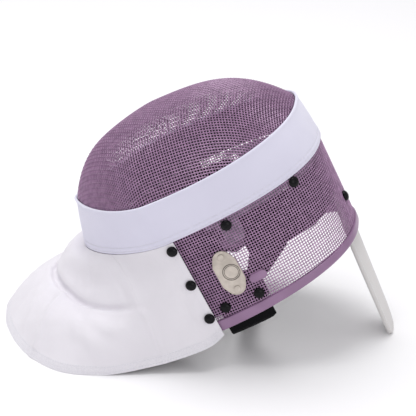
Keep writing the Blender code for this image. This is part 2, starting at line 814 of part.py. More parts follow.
def back_strap(frame):
    """Elastic strap that leaves the cheek pads, narrows and crosses the opening in a sag."""
    inner = -SEAT_GAP - MESH_WALL - PAD_CLEAR - PAD_WALL - 2 * SEAT_GAP
    low = -BAND_BELOW - SIDE_DEPTH - RIM_HEIGHT
    rows = []
    for k in range(STRAP_COLUMNS + 1):
        angle = angle_at(STRAP_FIRST_U + STRAP_WIDTH * k / STRAP_COLUMNS)
        start = loop_point(angle, low + STRAP_HIDDEN, inner)
        turn = loop_point(angle, low - STRAP_DROP, inner)
        turn[0] = start[0]
        path = [start, turn]
        inset = (STRAP_WIDTH - STRAP_MIDDLE_WIDTH) * k / STRAP_COLUMNS
        for j in range(1, STRAP_ROWS + 1):
            share = j / STRAP_ROWS
            fall = STRAP_SAG * (1 - (1 - share) ** STRAP_SAG_POWER)
            narrow = inset * min(share / STRAP_TAPER, 1.0)
            path.append(np.array([start[0] - narrow - fall * math.sin(LEAN),
                                  turn[1] * (1 - share), turn[2] - fall * math.cos(LEAN)]))
        mirrored = [p * np.array([1, -1, 1]) for p in path[-2::-1]]
        rows.append(path + mirrored)
    bm, _ = grid_mesh(rows, False)
    obj = add_object("back_strap", to_mesh("back_strap", bm), "black_cloth", frame)
    solidify(obj, STRAP_WALL)


def centre_on_floor(root):
    """Moves the whole mask so that the middle of its box stands over the origin."""
    bpy.context.view_layer.update()
    graph = bpy.context.evaluated_depsgraph_get()
    low, high = math.inf, -math.inf
    for obj in PARTS.objects:
        if obj.type != "MESH":
            continue
        evaluated = obj.evaluated_get(graph)
        mesh = evaluated.to_mesh()
        for vertex in mesh.vertices:
            x = (obj.matrix_world @ vertex.co).x
            low, high = min(low, x), max(high, x)
        evaluated.to_mesh_clear()
    root.location.x = -(low + high) / 2
    bpy.context.view_layer.update()


def main():
    root = add_empty("fencing_mask_root")
    frame = add_empty("mask_frame", root)
    frame.location = (0.0, 0.0, FRAME_HEIGHT)
    frame.rotation_euler = (0.0, -LEAN, 0.0)
    angles = even_angles(RING_STEPS)
    trim_band(frame, angles)
    face_mesh(frame, angles)
    side_mesh(frame, angles)
    rim_binding(frame, angles)
    bib(root)
    tongue(root)
    snaps(frame)
    badge(frame)
    strap_tabs(frame)
    cheek_pads(frame, angles)
    ring_strip("crown_pad", CROWN_PAD_EDGE, CROWN_PAD_TOP, PAD_WALL, CROWN_PAD_ROWS,
               "black_cloth", frame, angles)
    ring_strip("liner_band", LINER_EDGE, LINER_TOP, LINER_WALL, 1, "grey_cloth", frame, angles)
    back_strap(frame)
    centre_on_floor(root)


clear_scene()
PARTS = bpy.data.collections.new("fencing_mask")
bpy.context.scene.collection.children.link(PARTS)
main()
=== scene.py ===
"""Looks of the fencing mask: wire meshes, cloth, plastic, light and camera.

Metres, +Z up, floor at z = 0. The chin points to -X, the crown of the head to +X and the
wearer's left side to -Y. The mask's own frame leans back: u runs from chin to crown, y across
and f out of the face.
"""
import math

import bpy
import numpy as np
from mathutils import Matrix, Vector


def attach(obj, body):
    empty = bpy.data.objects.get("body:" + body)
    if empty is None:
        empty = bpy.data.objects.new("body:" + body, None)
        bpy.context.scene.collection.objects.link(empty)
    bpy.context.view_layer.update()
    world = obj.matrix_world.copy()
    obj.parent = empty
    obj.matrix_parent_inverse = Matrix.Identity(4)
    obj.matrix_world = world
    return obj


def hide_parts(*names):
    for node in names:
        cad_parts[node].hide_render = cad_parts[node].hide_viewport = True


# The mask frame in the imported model
LEAN = math.radians(27.6)
FRAME_X = -0.031536
FRAME_HEIGHT = 0.1623

# Face opening
HALF_WIDTH = 0.104
CROWN_REACH = 0.1705
CHIN_REACH = 0.1180
CROWN_POWER = 2.41
CHIN_POWER_ALONG = 1.54
CHIN_POWER_ACROSS = 1.3

# Trim band
BAND_ABOVE = 0.0234
BAND_BELOW = 0.0254
BAND_CROWN_TAPER = 0.0045
BAND_CHIN_TAPER = 0.0176
BAND_WALL = 0.0023
BAND_BULGE = 0.0008
BAND_TOP_TILT = -0.0055
BAND_TOP_CURVE = 0.0100
BAND_LOW_RISE = 0.0025
BAND_LAP = 0.012
BAND_COLUMNS = 800
BAND_RIPPLES = 162
BAND_RIPPLE = 0.00030
BAND_RIPPLE_PLACE = 0.90
BAND_RIPPLE_REACH = 0.06
BAND_PUCKER = 0.00018
BAND_STITCH_PLACES = (("1", 0.85), ("2", 0.945))

# Trim band's section, round its top, outer side, lower edge and back in: share of the way down,
# offset from the wall
BAND_SECTION = (
    (0.06, 0.0),
    (0.012, 0.0001),
    (0.0, 0.0011),
    (0.004, 0.0021),
    (0.02, BAND_WALL + 0.0005),
    (0.05, BAND_WALL + 0.0005),
    (0.075, BAND_WALL + 0.0001),
    (0.1, BAND_WALL),
    *[(share, BAND_WALL) for share in np.linspace(0.16, 0.80, 9)],
    (0.835, BAND_WALL + 0.0001),
    (0.85, BAND_WALL - 0.0002),
    (0.865, BAND_WALL + 0.0002),
    (0.91, BAND_WALL + 0.0003),
    (0.935, BAND_WALL + 0.0001),
    (0.945, BAND_WALL - 0.0001),
    (0.955, BAND_WALL + 0.0002),
    (0.985, BAND_WALL + 0.0002),
    (0.997, BAND_WALL - 0.0004),
    (1.0, 0.0011),
    (0.995, 0.0002),
    (0.94, 0.0),
)

# Face mesh and side mesh
MESH_WALL = 0.0016
DOME_HEIGHT = 0.0616
DOME_PEAK = 0.028
DOME_POWER = 3.26
FACE_MESH_DROP = 0.001
SIDE_DEPTH = 0.102
RIM_RETREAT = 0.0045
RIM_CROWN_RISE = 0.0065
RIM_CROWN_POWER = 1.5
RIM_CHIN_RISE = 0.064
RIM_CHIN_POWER = 1.4

# Wire of the meshes
FACE_WIRE_RADIUS = 0.00060
SIDE_WIRE_RADIUS = 0.00051
FACE_WIRE_WAVE = 0.0005
SIDE_WIRE_WAVE = 0.00034
WIRE_PITCH = 0.0031
WIRE_SIDES = 6
# Faces round each wire that look into the mask, which get the painted shade finish
WIRE_INNER_FACES = (2, 3)
NET_ALONG = 66
NET_ACROSS = 52
WIRE_IN_RIM = 0.003
WIRE_TUCKS = (0.003, 0.009)
WIRE_TRIM_SHARE = 0.994
WIRE_TRACE_REACH = 0.21
WIRE_TRACE_STEPS = 8000

# Rim binding
RIM_HEIGHT = 0.0125
RIM_CROWN_THIN = 0.0035
RIM_WALL = 0.0044
RIM_COLUMNS = 360

# Outer half of the rim binding's section: share of the way down, share of the half thickness
RIM_SECTION = (
    (0.0, 0.45), (0.012, 0.80), (0.05, 0.97), (0.12, 1.0), (0.30, 0.99), (0.50, 1.0),
    (0.70, 1.0), (0.83, 0.97), (0.91, 0.86), (0.965, 0.66), (0.993, 0.34),
)

# Bib
BIB_WALL = 0.0018
BIB_REACH = 0.0955
BIB_FLARE = 0.0367
BIB_CLEAR = 0.0006
BIB_EDGE_U = 0.0085
BIB_SEAT_WIDTH = 0.0125
BIB_LOWER = 0.002
NECK_SWELL = 0.020
SKIRT_SWELL = 0.010
SKIRT_LEAN = 0.22
CORNER_DROP = 0.003
SEAT_DROP = 0.009
SIDE_CREASE = 0.45

# Tongue
TONGUE_WALL = 0.005
TONGUE_TOP_F = -0.079
TONGUE_TOP_INSET = 0.0008
TONGUE_BOW = 0.0012
TONGUE_TIP_X = 0.0480
TONGUE_WIDTH = 0.056
TONGUE_TIP_LENGTH = 0.026
TONGUE_TIP_FLAT = 0.42
TONGUE_ROWS = 40
TONGUE_TIP_ROWS = 15

# Press studs
SNAP_RADIUS = 0.0058
SNAP_HEIGHT = 0.0044
BIB_SNAP_INSET = 0.0050
BIB_SNAP_FIRST_F = -0.034
BIB_SNAP_PITCH = 0.0425
CROWN_SNAP_F = -0.092

# Badge plate, rivets and strap tabs
BADGE_U = 0.0456
BADGE_F = -0.082
BADGE_LENGTH = 0.053
BADGE_WIDTH = 0.0265
BADGE_END_WIDTH = 0.0204
BADGE_STRAIGHT = 0.024
BADGE_END_START = math.radians(25)
BADGE_WALL = 0.0012
BADGE_LAYERS = ((0.0, 0.0), (0.0, 0.7), (0.0003, 1.0), (0.0012, 1.0), (0.0015, 0.75))
BADGE_RINGS = (("1", 0.0090, 0.00042), ("2", 0.0074, 0.00030))
BADGE_RING_SHIFT = 0.0026
RIVET_RADIUS = 0.0036
RIVET_HEIGHT = 0.0010
RIVET_PITCH = 0.039
TAB_U = 0.0712
TAB_F = -0.099
TAB_LENGTH = 0.0200
TAB_WIDTH = 0.0098
TAB_WALL = 0.0018
TAB_LAYERS = ((0.0, 0.0), (0.0, 0.5), (0.0002, 0.8), (0.0006, 1.0))

# Padding and back strap
PAD_WALL = 0.006
PAD_CLEAR = 0.0009
LINER_WALL = 0.0015
STRAP_WALL = 0.003
STRAP_WIDTH = 0.055
STRAP_FIRST_U = 0.0135
STRAP_HIDDEN = 0.026
STRAP_DROP = 0.0080
STRAP_MIDDLE_WIDTH = 0.022
STRAP_TAPER = 0.45
STRAP_SAG = 0.0256
STRAP_SAG_POWER = 2.6
STRAP_COLUMNS = 25
STRAP_STEPS = 16
STRAP_RIBS = 8
STRAP_RIB = 0.00025
STRAP_RIB_SINK = 0.0003

SEAT_GAP = 0.0003
MESH_MIDDLE = -SEAT_GAP - MESH_WALL / 2
MIRROR = np.array([1, -1, 1])

# Threads and weave. A stitch: share of its length, share of its radius, share of its lift
STITCH_SHAPE = (
    (-0.5, 0.3, -0.4),
    (-0.38, 0.9, 0.2),
    (0.0, 1.0, 0.5),
    (0.38, 0.9, 0.2),
    (0.5, 0.3, -0.4),
)
WAVE_PERIOD = 20
MOTTLE_LOW = 0.35
MOTTLE_HIGH = 0.65

# Snaps on the mesh of each side: name, u and depth as shares of crown reach and side depth
MESH_SNAPS = (
    ("1", 0.3900, 0.0745),
    ("2", 0.8364, 0.0451),
    ("3", 0.1402, 0.8892),
    ("4", 0.3742, 0.8941),
)

# Bib sections as in the solid: loop angle, crease fore, side, up, hem fore, side, up, near neck
# swell, far neck swell, skirt swell
BIB_SECTIONS = (
    (180.0, 0.40, 0.00, 0.56, 1.000, 0.000, 0.00, 0.55, 0.55, 1.20),
    (170.0, 0.33, 0.23, 0.55, 0.880, 0.450, 0.00, 0.40, 0.70, 1.20),
    (160.0, 0.20, 0.44, 0.54, 0.550, 0.970, 0.00, 0.15, 0.80, 1.30),
    (151.0, -0.06, 0.76, 0.55, 0.080, 1.900, 0.00, -0.10, 0.80, 1.60),
    (142.0, -0.26, 0.97, 0.65, -0.260, 1.970, 0.00, 0.00, 0.50, 1.60),
    (133.0, -0.47, 1.18, 0.79, -0.627, 1.630, 0.128, 0.35, 0.35, 0.50),
    (108.0, -0.70, 1.18, 1.02, -0.867, 1.430, 0.290, 0.10, 0.10, 0.00),
)
LAST_SECTION = len(BIB_SECTIONS)
BIB_COLUMNS = 78
SEAT_COLUMNS = 6
SEAT_REACH = 0.9
SEAT_ROUNDS = 24
FRONT_SEAM = 2.3
SIDE_SEAM = 5.0
SEAM_SAMPLES = (-0.14, -0.09, -0.06, -0.04, -0.02, 0.0, 0.02, 0.04, 0.06, 0.09, 0.14)
SEAM_RIDGE = 0.0046
SEAM_RIDGE_REACH = 0.012
SEAM_STEEP_SIDE = 0.40
SEAM_GROOVE = (0.0009, -0.0006)
SEAM_FOLD = 0.00045
SEAM_FOLD_EDGES = ((0.0006, 0.0003), (0.0055, 0.0012))

# Rows of the bib: along the neck, distances round the neck's fold, along the skirt, and distances
# from the hem
PROFILE_STEPS = 48
NECK_ROWS = 12
FOLD_ROWS = (-0.0100, -0.0070, -0.0045, -0.0026, -0.0012, 0.0, 0.0012, 0.0026, 0.0045, 0.0070, 0.0100)
SKIRT_ROWS = 13
HEM_ROWS = (0.0113, 0.0103, 0.0098, 0.0089, 0.0068, 0.0046, 0.0027, 0.0012, 0.0)
FOLD_ROW = NECK_ROWS + FOLD_ROWS.index(0.0)
HEM_ROW = NECK_ROWS + len(FOLD_ROWS) + SKIRT_ROWS

# Ridges and dents across a distance from the hem, the neck's fold or the top: place, reach, height
HEM_WIDTH = 0.0100
HEM_STEP = 0.0005
HEM_STEP_REACH = 0.00025
HEM_GROOVES = ((0.0089, 0.0008, -0.0004), (0.0027, 0.0008, -0.0003))
FOLD_SWELLS = ((-0.0026, 0.0042, -0.0034), (0.0060, 0.0050, 0.0026))
TOP_SWELLS = ((0.015, 0.0075, 0.0024), (0.036, 0.0100, -0.0024))

# Sections where the swells end, and how far before them they fade
FOLD_END = (5.3, 0.9)
TOP_END = (4.9, 1.2)
PUFF_END = (LAST_SECTION, 1.2)

# Soft folds: section and distance below the neck's fold at both ends, reach, height
BIB_FOLDS = (
    (2.9, 0.012, 4.5, 0.046, 0.0055, -0.0016),
    (3.2, 0.034, 4.2, 0.058, 0.0070, 0.0014),
    (4.9, 0.010, 3.9, 0.030, 0.0050, 0.0012),
    (5.2, -0.030, 6.4, 0.040, 0.0060, -0.0014),
    (1.5, 0.012, 1.7, 0.060, 0.0055, 0.0024),
    (0.8, 0.016, 1.0, 0.062, 0.0070, -0.0016),
    (2.05, 0.008, 2.1, 0.026, 0.0045, -0.0024),
    (4.4, -0.050, 4.7, -0.012, 0.0050, -0.0012),
)

# Dents beside the front seam: middle, reach, height
BIB_DENTS = (((-0.118, -0.128, 0.028), 0.016, -0.0022), ((-0.100, -0.112, 0.050), 0.010, 0.0008))
BIB_PUFF = 0.0007

# Tongue on the way to its tip: share of the way, share of the width, share of the bow
TONGUE_SECTIONS = (
    (0.00, 0.60, 0.0),
    (0.17, 0.84, 0.8),
    (0.36, 1.00, 1.0),
    (0.60, 0.94, 0.7),
    (0.80, 0.87, 0.3),
    (1.00, 0.79, 0.0),
)

# Front of the tongue's section with its sewn edge: share of the half width, share of the wall
TONGUE_SIDE = (
    (-1.0, 0.5), (-0.985, 0.22), (-0.955, 0.08), (-0.93, 0.035), (-0.90, 0.075), (-0.84, 0.05),
    (-0.60, 0.01), (-0.3, 0.0), (0.0, -0.01),
)
TONGUE_DIMPLE = 0.00012
TONGUE_STITCH_PLACE = 0.90
TONGUE_STITCH_DEPTH = 0.25 * 0.3

# Cheek pad's rear edge: depth, u, as shares
CHEEK_PAD_EDGE = (
    (0.0696, 0.2698),
    (0.2412, 0.2933),
    (0.6137, 0.3402),
    (0.6578, 0.4252),
    (0.9716, 0.4252),
)
CHEEK_PAD_FRONT_ANGLE = 92.0
CHEEK_PAD_COLUMNS = 26
CHEEK_PAD_ROWS = 26
CHEEK_PAD_CORNER = 0.004

# Lower edges of the crown pad and the liner: degrees from the crown, depth as a share
CROWN_PAD_EDGE = ((65.0, 0.3000), (62.0, 0.4373), (54.0, 0.5549), (34.0, 0.5843), (0.0, 0.4765))
CROWN_PAD_TOP = 0.0794
LINER_EDGE = (
    (78.5, 0.0549),
    (74.5, 0.0598),
    (73.5, 0.3000),
    (67.0, 0.3000),
    (66.0, 0.0598),
    (0.0, 0.0598),
)

# Even columns of the liner, and the angles of further ones beside its tab's corners
LINER_COLUMNS = (150, 73.9, 73.6, 66.9, 66.1, -73.9, -73.6, -66.9, -66.1)

# Camera
VIEW_YAW = math.radians(7)
VIEW_RISE = math.radians(25)
VIEW_DISTANCE = 1.8
VIEW_TARGET = (0.00496, 0.0541, 0.110)
VIEW_LENS = 137.85
SENSOR = 36.0

# Floor and world
FLOOR_REACH = 12.0
FLOOR_DROP = 0.0002
WORLD_COLOUR = (0.985, 0.98, 1.0, 1.0)
WORLD_STRENGTH = 0.655


# Places on the mask. Angles run in degrees from the crown over the wearer's left side.

def signed_power(value, power):
    return np.sign(value) * np.abs(value) ** power


def reaches(f):
    """Crown and chin reach of the wall at a height f."""
    up = np.clip((f + BAND_BELOW) / (BAND_ABOVE + BAND_BELOW), 0.0, 1.0)
    down = np.maximum(-(f + BAND_BELOW), 0.0) / SIDE_DEPTH
    return CROWN_REACH - BAND_CROWN_TAPER * up - RIM_RETREAT * down, CHIN_REACH - BAND_CHIN_TAPER * up


def outline(angle, f):
    crown, chin = reaches(f)
    cos, sin = np.cos(np.radians(angle)), np.sin(np.radians(angle))
    crownward = cos > 0
    u = np.where(crownward, crown * signed_power(cos, 2 / CROWN_POWER),
                 chin * signed_power(cos, 2 / CHIN_POWER_ALONG))
    y = np.where(crownward, signed_power(sin, 2 / CROWN_POWER), signed_power(sin, 2 / CHIN_POWER_ACROSS))
    return np.stack([u, -HALF_WIDTH * y, f + 0 * u], axis=-1)


def wall_normal(angle, f):
    """Direction out of the wall, square to f."""
    along = outline(angle + 0.5, f) - outline(angle - 0.5, f)
    normal = np.stack([-along[..., 1], along[..., 0], 0 * along[..., 0]], axis=-1)
    return normal / np.linalg.norm(normal, axis=-1, keepdims=True)


def wall(angle, f, offset=0.0):
    """Points at an offset out of the wall, in the mask frame."""
    angle, f, offset = np.broadcast_arrays(np.asarray(angle, float), np.asarray(f, float), offset)
    return outline(angle, f) + offset[..., None] * wall_normal(angle, f)


def to_world(points):
    """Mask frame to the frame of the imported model."""
    points = np.asarray(points, float)
    cos, sin = math.cos(LEAN), math.sin(LEAN)
    u, y, f = points[..., 0], points[..., 1], points[..., 2]
    return np.stack([FRAME_X + u * cos - f * sin, y, FRAME_HEIGHT + u * sin + f * cos], axis=-1)


def turn_to_world(directions):
    return to_world(directions) - to_world(np.zeros(3))


def band_top(u):
    share = u / CROWN_REACH
    return BAND_ABOVE + BAND_TOP_TILT * share + BAND_TOP_CURVE * share * share


def band_bottom(u):
    return -BAND_BELOW + BAND_LOW_RISE * np.maximum(u, 0.0) / CROWN_REACH


def side_bottom(u):
    """Height f where the side mesh ends and the rim binding starts."""
    crownward = np.maximum(u, 0.0) / CROWN_REACH
    chinward = np.maximum(BIB_EDGE_U - u, 0.0) / (BIB_EDGE_U + CHIN_REACH)
    rise = RIM_CROWN_RISE * crownward ** RIM_CROWN_POWER + RIM_CHIN_RISE * chinward ** RIM_CHIN_POWER
    return -BAND_BELOW - SIDE_DEPTH + rise


def loop_u(angle):
    """Place u of the wall below the band."""
    return outline(np.asarray(angle, float), -BAND_BELOW)[..., 0]


def height_at(depth):
    return -BAND_BELOW - SIDE_DEPTH * depth


def path_lengths(path):
    """Lengths from the start of a path to its points."""
    return np.r_[0.0, np.cumsum(np.linalg.norm(np.diff(path, axis=0), axis=1))]


def resampled(path, lengths, at):
    """Points of a path at those lengths along it."""
    return np.stack([np.interp(at, lengths, path[:, k]) for k in range(3)], axis=-1)


def loop_lengths():
    """Angles right round the loop, and the lengths to them."""
    dense = np.linspace(0.0, 360.0, 2881)
    return dense, path_lengths(outline(dense, -BAND_BELOW))


def even_angles(count):
    """Angles that divide the loop evenly by length."""
    dense, lengths = loop_lengths()
    return np.interp(np.linspace(0, lengths[-1], count + 1)[:-1], lengths, dense)


def angle_at(u):
    """Angle on the near side at which the wall below the band reaches u."""
    dense = np.linspace(0.0, 180.0, 3601)
    return float(np.interp(u, loop_u(dense)[::-1], dense[::-1]))


# Meshes

def unit(vectors):
    return vectors / np.maximum(np.linalg.norm(vectors, axis=-1, keepdims=True), 1e-9)


def above_floor(points):
    return np.maximum(points, (-np.inf, -np.inf, 0.0))


def grid_quads(rows, columns, wrap=False):
    """Corners of a grid's quads. With wrap the last column joins the first."""
    r, c = np.mgrid[0:rows - 1, 0:columns if wrap else columns - 1]
    n = (c + 1) % columns
    quads = [r * columns + c, r * columns + n, (r + 1) * columns + n, (r + 1) * columns + c]
    return np.stack(quads, axis=-1).reshape(-1, 4)


def ring_quads(count, corners, closed):
    """Quads between the rings of a tube. When closed, the last ring joins the first."""
    quads = grid_quads(count, corners, True)
    if not closed:
        return quads
    join = grid_quads(2, corners, True)
    join = np.where(join >= corners, join - corners, join + (count - 1) * corners)
    return np.concatenate([quads, join])


def caps(first, count, corners):
    """Faces that close both ends of a tube whose points start at first."""
    last = first + (count - 1) * corners
    return [list(range(first, first + corners))[::-1], list(range(last, last + corners))]


def new_object(name, data):
    """New object in the scene."""
    obj = bpy.data.objects.new(name, data)
    bpy.context.scene.collection.objects.link(obj)
    return obj


def add_piece(name, points, faces, finish, stands_for=None, uvs=None, sharp=40.0):
    """New mesh piece in the row frame, riding on the one body."""
    mesh = bpy.data.meshes.new(name)
    mesh.from_pydata(np.asarray(points).tolist(), [], [list(map(int, f)) for f in faces])
    if uvs is not None:
        layer = mesh.uv_layers.new(name="cloth")
        corners = np.asarray(uvs, float)[[v for f in faces for v in f]]
        layer.data.foreach_set("uv", corners.ravel())
    mesh.shade_smooth()
    mesh.set_sharp_from_angle(angle=math.radians(sharp))
    mesh.materials.append(FINISHES[finish])
    obj = new_object(name, mesh)
    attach(obj, "root")
    if stands_for:
        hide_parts(stands_for)
    return obj


def second_finish(piece, finish, chosen):
    """Gives the chosen faces of a piece one more finish."""
    piece.data.materials.append(FINISHES[finish])
    marks = np.zeros(len(piece.data.polygons), int)
    marks[:len(chosen)][chosen] = len(piece.data.materials) - 1
    number = np.zeros(len(marks), int)
    piece.data.polygons.foreach_get("material_index", number)
    piece.data.polygons.foreach_set("material_index", np.maximum(marks, number))


def tube_rings(points, normals, radius, sides):
    """Rings of a tube along points, with normals as the first direction of each ring."""
    along = unit(np.gradient(points, axis=0))
    across = unit(np.cross(along, normals))
    up = np.cross(across, along)
    turns = np.arange(sides) * 2 * np.pi / sides
    radius = np.broadcast_to(np.asarray(radius, float), (len(points),))[:, None, None]
    circle = up[:, None] * np.cos(turns)[:, None] + across[:, None] * np.sin(turns)[:, None]
    return points[:, None] + radius * circle


def tubes(name, wires, radius, finish, sides=WIRE_SIDES, ends=False, **settings):
    """One piece of many tubes. A wire is (points, normals), or (points, normals, True) for a loop."""
    points, faces, start = [], [], 0
    for wire in wires:
        path, normals = wire[:2]
        loop = len(wire) > 2 and wire[2]
        if loop:
            path = np.concatenate([path[-1:], path, path[:1]])
            normals = np.concatenate([normals[-1:], normals, normals[:1]])
        rings = tube_rings(path, normals, radius, sides)
        if loop:
            rings = rings[1:-1]
        count = len(rings)
        points.append(rings.reshape(-1, 3))
        faces.extend((ring_quads(count, sides, loop) + start).tolist())
        if ends and not loop:
            faces += caps(start, count, sides)
        start += count * sides
    return add_piece(name, np.concatenate(points), faces, finish, **settings)


def stitches(name, path, normals, finish, length=0.0021, gap=0.0010, radius=0.00026):
    """Row of short raised threads along a path."""
    lengths = path_lengths(path)
    along, thick, lift = np.array(STITCH_SHAPE).T
    thick, lift = thick * radius, lift * radius
    wires = []
    for middle in np.arange(length, lengths[-1] - length, length + gap):
        at = middle + along * length
        out = unit(resampled(normals, lengths, at))
        wires.append((resampled(path, lengths, at) + out * lift[:, None], out))
    return tubes(name, wires, thick, finish, sides=5, ends=True)


def sweep(name, sections, finish, **settings):
    """Closed ring through closed sections, an array of places by corners by three."""
    count, corners = sections.shape[:2]
    round_steps = np.linalg.norm(np.diff(sections[:, 0], axis=0, append=sections[:1, 0]), axis=1)
    up_steps = np.linalg.norm(np.diff(sections[0], axis=0, append=sections[0][:1]), axis=1)
    u = np.repeat(np.r_[0.0, np.cumsum(round_steps)[:-1]][:, None], corners, axis=1)
    v = np.repeat(np.r_[0.0, np.cumsum(up_steps)[:-1]][None], count, axis=0)
    uvs = np.stack([u, v], axis=-1).reshape(-1, 2)
    faces = ring_quads(count, corners, True)[:, ::-1].tolist()
    return add_piece(name, sections.reshape(-1, 3), faces, finish, uvs=uvs, **settings)


def smoothed(values, rounds):
    """Values along a path, each drawn to its neighbours. The ends stay."""
    values = values.copy()
    for _ in range(rounds):
        values[1:-1] = (values[:-2] + 2 * values[1:-1] + values[2:]) / 4
    return values


def grid_normals(grid):
    """Unit normals of a grid, cross of its second direction and its first."""
    return unit(np.cross(np.gradient(grid, axis=1), np.gradient(grid, axis=0)))


def shell(name, outer, inner, finish, bead=0.0, **settings):
    """Closed wall between two grids, with a rounded edge that stands out by bead."""
    m, n = outer.shape[:2]
    u, v = np.meshgrid(path_lengths(outer[:, n // 2]), path_lengths(outer[m // 2]), indexing="ij")
    uv = np.stack([u, v], axis=-1).reshape(-1, 2)
    edge = [(i, 0) for i in range(m)] + [(m - 1, j) for j in range(1, n)]
    edge += [(i, n - 1) for i in range(m - 2, -1, -1)] + [(0, j) for j in range(n - 2, 0, -1)]
    middle = []
    for i, j in edge:
        inward = outer[min(max(i, 1), m - 2), min(max(j, 1), n - 2)] - outer[i, j]
        middle.append(above_floor((outer[i, j] + inner[i, j]) / 2 - unit(inward) * bead))
    front = grid_quads(m, n).tolist()
    back = (grid_quads(m, n)[:, ::-1] + m * n).tolist()
    sides = []
    for k, (i, j) in enumerate(edge):
        here, there = 2 * m * n + k, 2 * m * n + (k + 1) % len(edge)
        p, q = edge[(k + 1) % len(edge)]
        sides.append([i * n + j, here, there, p * n + q][::-1])
        sides.append([here, m * n + i * n + j, m * n + p * n + q, there][::-1])
    points = np.concatenate([outer.reshape(-1, 3), inner.reshape(-1, 3), np.array(middle)])
    uvs = np.concatenate([uv, uv, np.array([uv[i * n + j] for i, j in edge])])
    faces = [f[::-1] for f in front + back] + sides
    return add_piece(name, points, faces, finish, uvs=uvs, **settings)


def cloth_area(grid):
    """Area of one face of a grid."""
    a, b, c, d = grid[:-1, :-1], grid[1:, :-1], grid[1:, 1:], grid[:-1, 1:]
    return float((np.linalg.norm(np.cross(c - a, d - b), axis=-1) / 2).sum())


def declare_sheet(obj, grid):
    """Measures the area, length and width of a sheet's grid, but does nothing with them."""
    area = cloth_area(grid)
    length = float(np.linalg.norm(np.diff(grid, axis=0), axis=-1).sum(axis=0).max())
    width = float(np.linalg.norm(np.diff(grid, axis=1), axis=-1).sum(axis=1).max())
    width = min(width, area / length / 0.6)


def soft_noise(values, seed, count=6, low=1.0, high=6.0):
    """Smooth seeded waves over an array, about -1 to 1."""
    rng = np.random.default_rng(seed)
    out = np.zeros_like(values, dtype=float)
    for _ in range(count):
        out += np.sin(values * rng.uniform(low, high) + rng.uniform(0, 2 * np.pi))
    return out / count


# Materials

def node(tree, kind, inputs=None, **settings):
    """New shader node. An input is a value or the socket that feeds it."""
    made = tree.nodes.new("ShaderNode" + kind)
    for key, value in settings.items():
        setattr(made, key, value)
    for key, value in (inputs or {}).items():
        if isinstance(value, bpy.types.NodeSocket):
            tree.links.new(value, made.inputs[key])
        else:
            made.inputs[key].default_value = value
    return made


def new_material(name, roughness, metallic=0.0, **sockets):
    """Material with its shader's own values. Underscores stand for spaces in a socket's name."""
    mat = bpy.data.materials.new(name)
    mat.use_nodes = True
    tree = mat.node_tree
    shader = tree.nodes["Principled BSDF"]
    sockets.update(Roughness=roughness, Metallic=metallic)
    for key, value in sockets.items():
        shader.inputs[key.replace("_", " ")].default_value = value
    return mat, tree, shader, node(tree, "TexCoord").outputs


def noise(tree, coordinates, scale, detail=2.0):
    made = node(tree, "TexNoise", {"Vector": coordinates, "Scale": scale, "Detail": detail})
    return made.outputs["Fac"]


def mottled(tree, shader, light, dark, scale, coordinates):
    """Base colour that drifts between two tones."""
    drift = noise(tree, coordinates, scale, 4.0)
    spread = node(tree, "MapRange", {0: drift, 1: MOTTLE_LOW, 2: MOTTLE_HIGH})
    tones = {0: spread.outputs[0], 6: (*dark, 1), 7: (*light, 1)}
    mix = node(tree, "Mix", tones, data_type="RGBA")
    tree.links.new(mix.outputs[2], shader.inputs["Base Color"])


def weave_height(tree, coordinates, pitch):
    """Height of a plain weave of that thread pitch."""
    inputs = {"Vector": coordinates, "Scale": 2 * math.pi / (WAVE_PERIOD * pitch)}
    threads = [node(tree, "TexWave", inputs, wave_type="BANDS", bands_direction=direction)
               for direction in ("X", "Y")]
    both = {k: thread.outputs["Fac"] for k, thread in enumerate(threads)}
    return node(tree, "Math", both, operation="MULTIPLY").outputs[0]


def bump(tree, shader, height, strength, distance):
    made = node(tree, "Bump", {"Height": height, "Strength": strength, "Distance": distance})
    tree.links.new(made.outputs["Normal"], shader.inputs["Normal"])


def cloth(name, light, dark, pitch, roughness=0.85, sheen=0.25, weave=0.5, drift=9.0, gloss=0.25):
    """Woven cloth with UVs in metres."""
    mat, tree, shader, place = new_material(
        name, roughness, Sheen_Weight=sheen, Sheen_Roughness=0.5, Specular_IOR_Level=gloss)
    mottled(tree, shader, light, dark, drift, place["Object"])
    threads = weave_height(tree, place["UV"], pitch)
    wrinkles = noise(tree, place["Object"], 60.0, 3.0)
    both = node(tree, "Math", {0: threads, 1: wrinkles}, operation="ADD")
    bump(tree, shader, both.outputs[0], weave, pitch * 0.25)
    return mat


def lacquered_wire(name, light, dark):
    """Steel wire under lilac lacquer, thinner and greyer in places."""
    mat, tree, shader, place = new_material(name, 0.36, 0.15, Coat_Weight=0.35, Coat_Roughness=0.22)
    mottled(tree, shader, light, dark, 160.0, place["Object"])
    bump(tree, shader, noise(tree, place["Object"], 900.0), 0.15, 0.0001)
    return mat


def plastic(name, light, dark, roughness, coat=0.2, gloss=0.5):
    """Moulded plastic with a fine grain, worn smoother and rougher in places."""
    mat, tree, shader, place = new_material(
        name, roughness, Coat_Weight=coat, Coat_Roughness=0.15, Specular_IOR_Level=gloss)
    mottled(tree, shader, light, dark, 40.0, place["Object"])
    grain = noise(tree, place["Object"], 1400.0)
    bump(tree, shader, grain, 0.08, 0.0002)
    worn = node(tree, "MapRange", {0: grain, 3: roughness - 0.06, 4: roughness + 0.10})
    tree.links.new(worn.outputs[0], shader.inputs["Roughness"])
    return mat


def brushed_metal(name, light, dark):
    mat, tree, shader, place = new_material(name, 0.38, 0.55)
    stretched = node(tree, "Mapping", {0: place["Object"], 3: (40.0, 40.0, 900.0)})
    mottled(tree, shader, light, dark, 120.0, place["Object"])
    bump(tree, shader, noise(tree, stretched.outputs[0], 1.0, 3.0), 0.12, 0.0001)
    return mat


